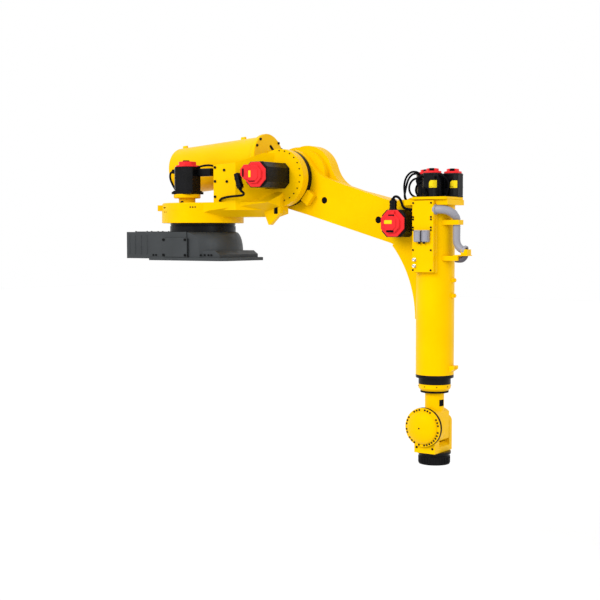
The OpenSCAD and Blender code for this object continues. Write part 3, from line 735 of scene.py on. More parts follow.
class ARM_OT_wrist_leads(bpy.types.Operator):
    """Lays the bundle of leads round the wrist motors"""

    bl_idname = "arm.wrist_leads"
    bl_label = "Wrist motor leads"

    def execute(self, context):
        radius = context.scene.arm_fittings.wrist_lead
        routes = {
            "bundle_outer": [(-112, -4, 312), (-126, -30, 322), (-150, -50, 318), (-176, -60, 288)]
            + [(-188, -64, 244), (-188, -63, 200), (-182, -60, 160), (-168, -57, 136), (-150, -55, 128)],
            "bundle_twin": [(-104, -4, 304), (-116, -32, 310), (-140, -50, 304), (-164, -56, 274)]
            + [(-174, -62, 236), (-178, -70, 200), (-180, -74, 168), (-172, -68, 142), (-154, -64, 128)],
            "bundle_middle": [(-96, -14, 276), (-110, -36, 282), (-136, -54, 268), (-152, -62, 236)]
            + [(-152, -62, 204), (-140, -58, 180), (-124, -52, 168), (-112, -46, 162)],
            "bundle_inner": [(-78, -14, 250), (-86, -32, 254), (-102, -52, 238), (-108, -60, 208)]
            + [(-100, -60, 182), (-88, -58, 168), (-78, -54, 162)],
            "front_cross": [(-38, -100, 288), (-54, -116, 284), (-62, -132, 262), (-44, -140, 232)]
            + [(-18, -142, 212), (2, -140, 194), (10, -134, 178), (10, -128, 162)],
            "side_cross": [(68, -76, 292), (84, -66, 288), (98, -44, 270), (104, -32, 244)]
            + [(100, -28, 214), (92, -30, 186), (88, -34, 162)],
            "front_drop": [(58, -114, 284), (74, -123, 283), (90, -128, 262), (96, -128, 232)]
            + [(94, -124, 200), (90, -118, 162)],
        }
        for name, route in routes.items():
            lead(name, [forearm_point(*step) for step in route], radius, "forearm")
        return {"FINISHED"}


class ARM_OT_hose(bpy.types.Operator):
    """Runs the ribbed hose down the forearm with its collars and elbow"""

    bl_idname = "arm.hose"
    bl_label = "Ribbed hose"

    def execute(self, context):
        radius = context.scene.arm_fittings.hose_radius
        half_rib = 0.0045
        groove_share = 0.93
        upper_swell = 1.12
        start = (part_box("conduit")[0].x - ROLL.x) * 1000
        route = [(start, -128, 84), (88, -128, 84), (111, -124, 83), (131, -115, 80), (149, -101, 72)]
        route += [(162, -84, 60), (169, -68, 46), (172, -56, 34), (172, -50, 23), (172, -50, -40)]
        route += [(172, -50, -100), (176, -50, -124), (187, -50, -144), (206, -50, -159), (230, -50, -168)]
        fine = smooth_line([forearm_point(*step) for step in route], 24)
        line = [fine[0]]
        for point in fine[1:]:
            if (point - line[-1]).length >= half_rib:
                line.append(point)
        swell_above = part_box("conduit_clamp_upper")[1].z + 0.03
        shares = []
        for index, point in enumerate(line):
            swell = upper_swell if point.z > swell_above else 1.0
            shares.append(swell if index % 2 else swell * groove_share)
        piece = tube("ribbed_hose", line, radius, shares)
        settle(piece, "ribbed_hose", "forearm", "grey_metal", angle=50.0)
        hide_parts("conduit")
        collars = []
        for place, axis in ((line[1], line[0] - line[3]), (line[-2], line[-1] - line[-4])):
            collar = ring(outer=radius * 1.3, inner=radius * 0.9, height=0.016, sides=40, edge=0.002)
            collars.append(stand(collar, place, axis.normalized()))
        settle(joined(collars), "hose_collars", "forearm", "grey_metal")
        holder = eased_block((0.046, 0.058, 0.034), corner=0.006, steps=3, rim=0.005, sink=0.004, edge=0.002)
        stand(holder, spot("conduit_clamp_lower", x=1.0, z=1.0) + mm(-26, 0, 0))
        settle(holder, "hose_end_block", "forearm", "yellow_paint")
        route = [(-94, 0, 7), (-72, 0, 5), (-52, 0, 7), (-37, 0, 18), (-29, 0, 30), (-28, 0, 42)]
        elbow = [spot("conduit_clamp_lower", x=1.0, z=0.0) + mm(*step) for step in route]
        piece = tube("hose_elbow", smooth_line(elbow, 6), radius * 0.72)
        settle(piece, "hose_elbow", "forearm", "black_rubber", "dark_moulding", angle=60.0)
        return {"FINISHED"}


# Solids


class ARM_OT_solids(bpy.types.Operator):
    """Eases the edges of the solids and paints them"""

    bl_idname = "arm.solids"
    bl_label = "Ease and paint the solids"

    def execute(self, context):
        edges = context.scene.arm_edges
        plates = ("forearm_cover", "motor_plate", "base_side_cover", "base_connector_panel", "conduit_clamp_lower")
        width_of = {"yellow_paint": edges.casting, "grey_paint": edges.casting}
        width_of.update({plate: edges.plate for plate in plates})
        for part in frame["record"]["subparts"]:
            node = NODES[part["node"]]
            slot = part["material_slot"]
            node.data.materials.clear()
            node.data.materials.append(finish(slot))
            node.data.shade_smooth()
            weld = node.modifiers.new("weld", "WELD")
            weld.merge_threshold = 0.00001
            flat = node.modifiers.new("flat", "DECIMATE")
            flat.decimate_type = "DISSOLVE"
            flat.angle_limit = math.radians(0.5)
            eased = node.modifiers.new("eased", "BEVEL")
            eased.width = width_of.get(part["node"], width_of.get(slot, edges.motor))
            eased.segments = 3
            eased.limit_method = "ANGLE"
            eased.angle_limit = math.radians(28.0)
            shade = node.modifiers.new("shade", "WEIGHTED_NORMAL")
            shade.weight = 60
        return {"FINISHED"}


# Screws


class ARM_OT_shoulder_screws(bpy.types.Operator):
    """Sets the screws of the drum, wall, balancer and base cover, and a dark inlay of painted shade for the slot
    in the balancer's head
    """

    bl_idname = "arm.shoulder_screws"
    bl_label = "Shoulder and base screws"

    def balancer_head(self, radius):
        """The screws round the balancer's head and a dark inlay of painted shade for the slot in its face."""
        head = mm(351.5, 275, 710.5) + 0.034 * BALANCER_WAY

        def across(degrees):
            angle = math.radians(degrees)
            return math.cos(angle) * FAR + math.sin(angle) * BALANCER_RISE

        turns = (28, 46, 125, 147, 180, 208, 226, 305, 327, 0)
        circle = 0.170
        places = [(head + circle * across(turn), BALANCER_WAY) for turn in turns]
        screws("balancer_screws", "turret", places, radius, height=0.010)
        # A dark inlay painted as the shade inside the slot in the head's face.
        slot = eased_block((0.050, 0.020, 0.004), corner=0.006, steps=3, rim=0.003, sink=0.002)
        long_way = across(-42.0)
        turned = Matrix((long_way, BALANCER_WAY.cross(long_way), BALANCER_WAY)).transposed().to_4x4()
        slot_reach = 0.090
        set_turned(slot, head + slot_reach * across(68.0), turned)
        settle(slot, "balancer_slot_shade", "turret", "black_rubber")

    def execute(self, context):
        fittings = context.scene.arm_fittings
        hub = Vector((SHOULDER.x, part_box("j2_motor")[1].y, SHOULDER.z)) + mm(0, 0, 12)
        circle = 0.172
        places = [(hub + circle * spoke(15 * index - 90), NEAR) for index in range(13)]
        screws("drum_screws", "turret", places, fittings.small_screw * 0.75, height=0.005)
        wall = [(256, 545), (358, 542), (335, 620), (256, 640), (256, 440)]
        places = [(mm(x, -180, z), NEAR) for x, z in wall]
        screws("wall_screws", "turret", places, fittings.large_screw, height=0.008)
        self.balancer_head(fittings.large_screw)
        low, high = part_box("base_side_cover")
        inset = 0.013
        corners = [(x, z) for x in (low.x + inset, high.x - inset) for z in (low.z + inset, high.z - inset)]
        places = [(Vector((x, low.y, z)), NEAR) for x, z in corners]
        screws("base_cover_screws", "base", places, fittings.large_screw, height=0.008)
        return {"FINISHED"}


class ARM_OT_forearm_screws(bpy.types.Operator):
    """Sets the screws of the forearm cover, the motor plate and the small lugs"""

    bl_idname = "arm.forearm_screws"
    bl_label = "Forearm screws"

    def execute(self, context):
        small = context.scene.arm_fittings.small_screw
        rows = (124, 38, 23, -26, -42, -165, -288)
        places = [(cover_point(x, z), NEAR) for x in (-72, 52) for z in rows]
        screws("cover_screws", "forearm", places, small, height=0.006)
        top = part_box("motor_plate")[1].z
        places = []
        for x, y in ((-30, -136), (134, -134), (136, -60), (136, 76), (30, 80), (-128, 76), (-128, -20)):
            point = forearm_point(x, y, 0)
            point.z = top
            places.append((point, UP))
        screws("plate_screws", "forearm", places, small * 1.2, height=0.008)
        places = [(forearm_point(x, 0, z), FRONT) for x, z in ((136, -352), (136, -448), (149, -893))]
        settle(copies(washer_bolt(radius=0.009, height=0.008), places), "lug_bolts", "forearm", "yellow_paint")
        return {"FINISHED"}


class ARM_OT_wrist_screws(bpy.types.Operator):
    """Sets the screws round the wrist cover and on the wrist's nose"""

    bl_idname = "arm.wrist_screws"
    bl_label = "Wrist screws"

    def execute(self, context):
        low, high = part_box("j5_cover")
        rim = Vector((WRIST.x, high.y - 0.029, WRIST.z))
        turns = [121, 111, 101, 81, 71, 61, 30, 20, 10, -12, -23, -33, -43, -53, -63, -73, -83, -102]
        turns += [-120, -131, -142, -161, -171, 171, 160, 149]
        circle = 0.111
        places = [(rim + circle * spoke(turn), NEAR) for turn in turns]
        small = context.scene.arm_fittings.small_screw
        screws("wrist_cover_screws", "wrist_fork_body", places, small, height=0.004)
        centre = Vector((WRIST.x, low.y + 0.0005, WRIST.z))
        screws("wrist_cover_plug", "wrist_fork_body", [(centre, NEAR)], radius=0.005, height=0.003)
        places = [(mm(1808.2, -128, -1142.2), NEAR), (mm(1919.3, -128, -1144.7), NEAR)]
        screws("wrist_nose_screws", "wrist_fork_body", places, radius=0.007, height=0.005)
        return {"FINISHED"}


# Motors


def octagon_band(side, cut, height):
    """A low octagonal band with a stepped top."""
    return eased_block(
        (side, side, height),
        corner=cut,
        steps=1,
        rim=side * 0.025,
        sink=-height * 0.35,
        edge=height * 0.12,
        edge_angle=40.0,
    )


def cap_lid(side, height):
    """A raised lid with a shallow tray and a lip."""
    return eased_block(
        (side, side, height),
        corner=side * 0.24,
        steps=1,
        rim=side * 0.06,
        sink=height * 0.4,
        edge=height * 0.16,
        edge_angle=40.0,
    )


def bare_plate(width, depth, cut=0.0):
    """A thin plate with rounded corners and a raised rim. One upper corner may be cut off."""
    thickness = 0.0016
    plate = block(width, depth, thickness)
    if cut:
        pick_edges(plate, lambda a, b: max(a.x, b.x) < 0.0 < min(a.y, b.y))
        bevel_picked(cut, segments=1)
    ease_upright(plate, min(width, depth) * 0.12, segments=3)
    sink_top(plate, thickness, rim=min(width, depth) * 0.07, depth=0.0005)
    return plate


def slot_shade_inlay(width, depth):
    """A thin dark inlay that stands for a slot in a cap: painted shade in place of the shadow inside the slot."""
    return eased_block((width, depth, 0.0022), corner=0.003, steps=3, rim=0.0015, sink=0.001)


def knob(radius, height):
    """A round knob with a dished top."""
    dish = (radius * 0.3, height * 0.3)
    return disc(radius, height, sides=36, sinks=[dish], edge=height * 0.16, edge_steps=3, edge_angle=50.0)


def octagon_slab(side, cut, height, rim=0.0, sink=0.0, edge=0.0, edge_steps=2):
    """An upright slab with cut corners."""
    size = (side, side, height)
    return eased_block(size, cut, 1, rim, sink, edge, edge_steps, edge_angle=30.0)


def panelled_jacket(side, cut, height):
    """An octagonal motor jacket with a sunk panel in each side."""
    jacket = octagon_slab(side, cut, height)
    pick_faces(jacket, lambda centre, normal: abs(normal.z) < 0.1)
    bpy.ops.mesh.inset(thickness=side * 0.045, depth=-0.0012, use_individual=True)
    put_down()
    ease_all(jacket, width=0.0012, angle=30.0)
    return jacket


def tiered_cap(side, tiers):
    """A motor cap of stacked octagons, each given by its share of the side and its height."""
    parts = []
    level = 0.0
    for share, height in tiers:
        level += height
        width = side * share
        tier = octagon_slab(width, width * 0.27, level, side * 0.035, sink=-0.0015, edge=0.0022, edge_steps=3)
        parts.append(tier)
    return joined(parts)


class ARM_OT_motor_bands(bpy.types.Operator):
    """Adds the jackets and mounting bands of the motors and the plugs of the wrist motors"""

    bl_idname = "arm.motor_bands"
    bl_label = "Motor jackets and bands"

    def wrist_plugs(self):
        """The trunk beside the wrist motors and a plug on the front of each."""
        trunk = eased_block((0.030, 0.034, 0.132), corner=0.006, steps=3, rim=0.005, sink=0.004, edge=0.0015)
        parts = [stand(trunk, spot("j4_motor", 1.0, 1.0, 0.0) + mm(-10, 16, 0))]
        for name, shift in (("j4", -20), ("j5", -14), ("j6", 12)):
            plug = eased_block((0.026, 0.034, 0.020), corner=0.004, steps=3, rim=0.003, sink=-0.006, edge=0.0012)
            parts.append(stand(plug, spot(f"{name}_motor", y=0.0, z=0.0) + mm(shift, 0, 36), NEAR))
        settle(joined(parts), "wrist_motor_plugs", "forearm", "black_rubber")

    def execute(self, context):
        cut_share = 0.2
        for name, body in (("j2", "turret"), ("j3", "forearm")):
            low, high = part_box(f"{name}_motor")
            side = high.x - low.x
            cut = cut_share * side
            back = spot(f"{name}_motor", y=1.0)
            shell = panelled_jacket(side + 0.0035, cut + 0.001, high.y - low.y - 0.028)
            parts = [stand(shell, back + mm(0, -13, 0), NEAR)]
            for foot in (back, spot(f"{name}_motor", y=0.0) + mm(0, 16, 0)):
                parts.append(stand(octagon_band(side + 0.006, cut + 0.002, height=0.010), foot, NEAR))
            settle(joined(parts), f"{name}_motor_jacket", body, "black_metal")
        parts = []
        for name in ("j4", "j5", "j6"):
            low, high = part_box(f"{name}_motor")
            side = high.x - low.x
            cut = cut_share * side
            foot = spot(f"{name}_motor", z=0.0)
            shell = panelled_jacket(side + 0.003, cut + 0.001, high.z - low.z - 0.020)
            parts.append(stand(shell, foot + mm(0, 0, 10)))
            for place in (foot, foot + mm(0, 0, 58), spot(f"{name}_motor", z=1.0) - mm(0, 0, 12)):
                parts.append(stand(octagon_band(side + 0.005, cut + 0.002, height=0.008), place))
        settle(joined(parts), "wrist_motor_jackets", "forearm", "black_metal")
        self.wrist_plugs()
        return {"FINISHED"}


class ARM_OT_small_caps(bpy.types.Operator):
    """Models the stepped caps and knobs of the wrist motors"""

    bl_idname = "arm.small_caps"
    bl_label = "Wrist motor caps"

    def execute(self, context):
        knobs = []
        for name in ("j4", "j5", "j6"):
            low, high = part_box(f"{name}_motor_cap")
            foot = spot(f"{name}_motor_cap", z=0.0)
            cap = stand(tiered_cap(high.x - low.x, ((0.94, 0.011), (0.66, 0.016))), foot)
            settle(cap, f"{name}_stepped_cap", "forearm", "red_cap")
            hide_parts(f"{name}_motor_cap")
            knobs.append((foot + mm(9, -25, 10.5), UP))
        settle(copies(knob(radius=0.0165, height=0.0185), knobs), "wrist_cap_knobs", "forearm", "black_rubber")
        return {"FINISHED"}


class ARM_OT_slewing_motor(bpy.types.Operator):
    """Adds the slewing motor's jacket, foot, cap, plug and terminal box"""

    bl_idname = "arm.slewing_motor"
    bl_label = "Slewing motor"

    def terminal_box(self, place):
        """The terminal box, with its lower end rounded off."""
        case = eased_block((0.050, 0.054, 0.120), corner=0.010, steps=3, rim=0.006, sink=-0.004)
        pick_edges(case, lambda a, b: a.z < 1e-5 and b.z < 1e-5 and a.y > 0.016 and b.y > 0.016)
        bevel_picked(width=0.020, segments=2)
        ease_all(case, width=0.002)
        settle(stand(case, place, FRONT), "slewing_terminal_box", "turret", "black_metal")

    def execute(self, context):
        low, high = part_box("j1_motor")
        side = high.x - low.x
        foot = spot("j1_motor", z=0.0) + mm(4, 0, 0)
        top = Vector((foot.x, foot.y, high.z))
        shell = panelled_jacket(side + 0.012, 0.25 * side, high.z - low.z - 0.002)
        flange = octagon_slab(side + 0.026, 0.14 * side, height=0.016, rim=0.012, sink=-0.008, edge=0.002)
        parts = [stand(shell, foot), stand(flange, foot)]
        settle(joined(parts), "slewing_motor_jacket", "turret", "black_metal")
        cap = stand(tiered_cap(side, ((1.03, 0.009), (0.76, 0.026))), top)
        settle(cap, "slewing_cap", "turret", "red_cap")
        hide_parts("j1_motor_cap")
        button = stand(knob(radius=0.024, height=0.012), top + mm(-12, 0, 34))
        settle(button, "slewing_cap_knob", "turret", "black_rubber")
        reach = 0.45 * side
        corners = [Vector((x * reach, y * reach, 0.015)) for x in (-1, 1) for y in (-1, 1)]
        places = [(foot + corner, UP) for corner in corners]
        screws("slewing_foot_screws", "turret", places, radius=0.007, height=0.006)
        plug = eased_block((0.032, 0.030, 0.066), corner=0.005, steps=3, rim=0.004, sink=-0.006, edge=0.0015)
        stand(plug, Vector((low.x, top.y, top.z)) + mm(0, 20, -27), BACK)
        settle(plug, "slewing_plug", "turret", "black_rubber")
        self.terminal_box(Vector((high.x, top.y, top.z)) + mm(6, 30, -40))
        return {"FINISHED"}


class ARM_OT_cap_lids(bpy.types.Operator):
    """Adds the lids, the dark inlays of painted shade for the slots, and the bare plates of the large motor caps
    and the wrist motors
    """

    bl_idname = "arm.cap_lids"
    bl_label = "Cap lids and plates"

    def cap_front(self, name, body, plate_size, plate_shift, slots):
        """A large cap's lid, its bare plate, and dark inlays of painted shade for its slots, with their sizes and
        shifts.
        """
        centre = spot(f"{name}_motor")
        centre.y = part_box(f"{name}_motor_cap")[0].y
        lid = stand(cap_lid(side=0.088, height=0.006), centre + mm(-8, 1, 2), NEAR)
        settle(lid, f"{name}_cap_lid", body, "red_cap")
        plate = stand(bare_plate(*plate_size), centre + mm(*plate_shift), NEAR)
        settle(plate, f"{name}_cap_plate", body, "yellow_paint", "plate_yellow")
        # Dark inlays painted as the shade inside the cap's slots.
        slot_shades = [stand(slot_shade_inlay(*size), centre + mm(*shift), NEAR) for size, shift in slots]
        settle(joined(slot_shades), f"{name}_cap_slot_shades", body, "black_rubber")
        return centre

    def shoulder_cap(self, face):
        """The shoulder motor's cap with its side lobe, and a dark inlay of painted shade for its notch."""
        low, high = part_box("j2_motor")
        side = high.x - low.x
        deep = low.y - face
        back = spot("j2_motor", y=0.0)
        parts = []
        for share, height in ((1.0, deep * 0.45), (0.7, deep)):
            width = side * share
            tier = octagon_slab(width, width * 0.2929, height, edge=0.003, edge_steps=3)
            parts.append(stand(tier, back, NEAR))
        lobe = octagon_slab(
            side=0.098, cut=0.030, height=0.018, rim=0.006, sink=-0.0015, edge=0.0022, edge_steps=3
        )
        parts.append(stand(lobe, back + mm(-69, 0, 17), NEAR))
        cap = settle(joined(parts), "shoulder_cap", "turret", "red_cap")
        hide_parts("j2_motor_cap")
        # A dark inlay painted as the shade inside the cap's notch.
        notch = stand(slot_shade_inlay(0.012, 0.054), back + mm(-93, -19, 13), NEAR)
        settle(notch, "shoulder_cap_notch_shade", "turret", "black_rubber")

    def execute(self, context):
        slots = [((0.050, 0.013), (-14, 0, -42))]
        centre = self.cap_front("j2", "turret", (0.018, 0.044), (-31, -2.6, 3), slots)
        self.shoulder_cap(centre.y)
        slots = [((0.042, 0.009), (3, 0, 50)), ((0.052, 0.012), (-6, 0, -50))]
        centre = self.cap_front("j3", "forearm", (0.054, 0.023), (-19, -2.6, 8), slots)
        spout = eased_block((0.030, 0.034, 0.018), corner=0.006, steps=3, rim=0.004, sink=0.003, edge=0.002)
        stand(spout, centre + mm(6, 17, 64), NEAR)
        settle(spout, "j3_cap_spout", "forearm", "red_cap")
        plate_height = 0.046
        for name, width in (("j4", 0.027), ("j5", 0.022)):
            corner = spot(f"{name}_motor", 1.0, 0.0, 0.0) + mm(0, 0, 78)
            front = bare_plate(width, plate_height, cut=0.012)
            stand(front, corner + mm(-20.5, -1.4, 0) - width / 2 * FRONT, NEAR)
            slant = stand(bare_plate(0.025, plate_height), corner + mm(-12.1, 7.1, 0), outward(-45))
            settle(joined([front, slant]), f"{name}_motor_plates", "forearm", "yellow_paint", "plate_yellow")
        return {"FINISHED"}


class ARM_OT_boots(bpy.types.Operator):
    """Adds the plug nuts and tapered boots where the leads leave their plugs, and the shoulder's plug"""

    bl_idname = "arm.boots"
    bl_label = "Plug nuts and boots"

    def boot(self, name, body, place, axis, radius, tip):
        """A boot of three tiers, each a height and a share of the lead's radius."""
        tiers = []
        for height, share in ((0.005, 1.9), (0.010, 1.6), (tip, 1.35)):
            tier = ring(radius * share, radius * 0.8, height, sides=28, edge=0.001)
            tiers.append(stand(tier, place, axis))
        settle(joined(tiers), name, body, "black_rubber")

    def execute(self, context):
        radius = context.scene.arm_fittings.motor_lead
        low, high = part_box("j3_motor_plug")
        plug_radius = (high.x - low.x) / 2
        nuts = []
        for lift, share in ((0, 1.12), (24, 1.06), (44, 1.1)):
            nut = ring(plug_radius * share, plug_radius * 0.9, height=0.012, sides=24, edge=0.0015)
            nuts.append(stand(nut, spot("j3_motor_plug", z=0.0) + mm(0, 0, lift)))
        settle(joined(nuts), "elbow_plug_nuts", "forearm", "black_metal")
        self.boot("elbow_boot", "forearm", spot("j3_motor_plug", z=1.0), UP, radius, tip=0.015)
        start = shoulder_exit(radius)
        self.boot("shoulder_boot", "turret", start, DOWN, radius, tip=0.014)
        parts = [eased_block((0.035, 0.040, 0.100), corner=0.007, steps=4, rim=0.006, sink=-0.004, edge=0.002)]
        for lift in (14, 62):
            rim = eased_block((0.039, 0.044, 0.010), corner=0.008, steps=4, edge=0.0015)
            parts.append(stand(rim, mm(0, 0, lift)))
        lean = Matrix.Rotation(math.radians(-17.0), 4, "Y")
        plug = set_turned(joined(parts), start + mm(1, 0, 0), lean)
        settle(plug, "shoulder_plug", "turret", "black_metal")
        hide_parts("j2_motor_plug")
        return {"FINISHED"}


# Covers, plugs and rings


class ARM_OT_connectors(bpy.types.Operator):
    """Models the two connector housings on the forearm cover, a dark strip of painted shade in the gap between
    them, and the round fittings below
    """

    bl_idname = "arm.connectors"
    bl_label = "Cover connectors"

    def execute(self, context):
        low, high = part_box("panel_connectors")
        tall = high.z - low.z
        centre = spot("panel_connectors", y=1.0)
        base = eased_block((high.x - low.x, tall, 0.008), corner=0.005, steps=3, edge=0.0012)
        parts = [stand(base, centre, NEAR)]
        for shift in (-27.5, 27.5):
            case = eased_block((0.045, tall, 0.022), corner=0.009, steps=4, rim=0.004, sink=-0.005)
            sink_top(case, height=0.027, rim=0.004, depth=0.003)
            ease_all(case, width=0.0018, segments=3)
            parts.append(stand(case, centre + mm(shift, -3, 0), NEAR))
        piece = settle(joined(parts), "cover_connectors", "forearm", "grey_metal")
        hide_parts("panel_connectors")
        levers = []
        foot = spot("panel_connectors", y=1.0, z=0.0)
        for shift in (-16, 16):
            lever = eased_block((0.012, 0.016, 0.010), corner=0.003, steps=3, rim=0.002, sink=0.002, edge=0.001)
            levers.append(stand(lever, foot + mm(shift, -8, -4), NEAR))
        # A dark strip painted as the shade in the gap between the two housings.
        gap_shade = eased_block((0.008, tall * 0.96, 0.012), corner=0.003, steps=2, rim=0.002, sink=0.002)
        levers.append(stand(gap_shade, centre + mm(0, -4, 0), NEAR))
        settle(joined(levers), "connector_levers_and_gap_shade", "forearm", "black_rubber")
        nut = round_bar(radius=0.012, height=0.004, sides=6)
        bore = (0.003, 0.006)
        collar = disc(radius=0.0095, height=0.016, sides=28, sinks=[bore], edge=0.001, edge_angle=50.0)
        places = [(cover_point(-61, z), NEAR) for z in (-224, -263)]
        settle(copies(joined([nut, collar]), places), "cover_fittings", "forearm", "grey_metal", "bright_steel")
        return {"FINISHED"}


class ARM_OT_arm_plugs(bpy.types.Operator):
    """Closes the round pockets of the lower arm with rubber plugs"""

    bl_idname = "arm.arm_plugs"
    bl_label = "Lower arm plugs"

    def execute(self, context):
        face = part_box("lower_arm_casting")[0].y
        steps = [(0.004, 0.003), (0.008, -0.002)]
        plug = disc(radius=0.0226, height=0.014, sides=40, sinks=steps, edge=0.0008, edge_angle=50.0)
        below = 0.060
        pocket_depth = 0.018
        places = []
        for along in (0.325, 0.770):
            place = SHOULDER + along * spoke(-ARM_DROP) + below * spoke(-ARM_DROP - 90.0)
            place.y = face + pocket_depth
            places.append((place, NEAR))
        settle(copies(plug, places), "arm_pocket_plugs", "lower_arm", "black_rubber")
        return {"FINISHED"}


class ARM_OT_wrist_rings(bpy.types.Operator):
    """Adds the wrist cover's seal, the neck's band and plug, the collar's screws and the flange's ribs"""

    bl_idname = "arm.wrist_rings"
    bl_label = "Wrist rings and plug"

    def execute(self, context):
        seal = ring(outer=0.1224, inner=0.112, height=0.018, sides=96, edge=0.0012)
        stand(seal, Vector((WRIST.x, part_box("j5_cover")[1].y - 0.0004, WRIST.z)), NEAR)
        settle(seal, "wrist_cover_seal", "wrist_fork_body", "black_rubber")
        neck_top = Vector((ROLL.x, 0.0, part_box("wrist_neck")[1].z))
        band = ring(outer=0.0885, inner=0.056, height=0.012, sides=72, edge=0.002)
        stand(band, neck_top - mm(0, 0, 53.5))
        settle(band, "neck_band", "wrist", "black_rubber")
        out = outward(-14)
        plug = eased_block((0.0364, 0.0404, 0.0118), corner=0.003, steps=3, rim=0.0024, sink=0.002, edge=0.0008)
        neck_face = 0.0482
        stand(plug, Vector((ROLL.x, 0.0, WRIST.z + 0.1415)) + neck_face * out, out)
        settle(plug, "neck_plug", "wrist", "black_rubber")
        collar = neck_top - mm(0, 0, 13)
        asides = [outward(45 * index - 55) for index in range(8)]
        collar_radius = 0.1008
        places = [(collar + collar_radius * aside, aside) for aside in asides]
        screws("collar_screws", "wrist", places, radius=0.0034, height=0.003)
        rib = eased_block((0.007, 0.042, 0.0036), corner=0.002, steps=2, rim=0.0012, sink=-0.0006)
        flange = Vector((ROLL.x, 0.0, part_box("tool_flange")[0].z + 0.028))
        asides = [outward(10 * index) for index in range(36)]
        flange_radius = 0.0962
        places = [(flange + flange_radius * aside, aside) for aside in asides]
        settle(copies(rib, places), "flange_ribs", "flange_body", "black_metal")
        return {"FINISHED"}


class ARM_OT_deck_fittings(bpy.types.Operator):
    """Sets the small screws of the deck and the foot and the shoulder's rubber buffer"""

    bl_idname = "arm.deck_fittings"
    bl_label = "Deck and foot fittings"

    def execute(self, context):
        spots = ((-68.4, 370), (-64.9, 370), (-61.5, 370), (-117, 369), (-121, 369), (-113, 338), (-119, 338))
        deck_radius = 0.2873
        places = [(deck_radius * outward(turn) + mm(0, 0, z), outward(turn)) for turn, z in spots]
        screws("deck_screws", "turret", places, radius=0.005, height=0.004)
        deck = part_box("j1_motor_flange")[0].z
        bolt = stand(washer_bolt(radius=0.010, height=0.010), Vector((0.033, -0.268, deck)))
        settle(bolt, "deck_bolt", "turret", "black_metal", "screw_black")
        buffer = eased_block((0.030, 0.056, 0.012), corner=0.005, steps=3, rim=0.004, sink=-0.003, edge=0.0015)
        stand(buffer, mm(651, -7.5, 349), NEAR)
        settle(buffer, "shoulder_buffer", "turret", "black_rubber")
        slant = Vector((0.59, -0.80, 0.0)).normalized()
        places = [(mm(166.9, -231, 40), slant)] + [(mm(x, -220, 40), NEAR) for x in (194, 227, 252)]
        places += [(mm(x, -245, 37), NEAR) for x in (-252, -227)]
        screws("foot_screws", "base", places, radius=0.007, height=0.006)
        return {"FINISHED"}


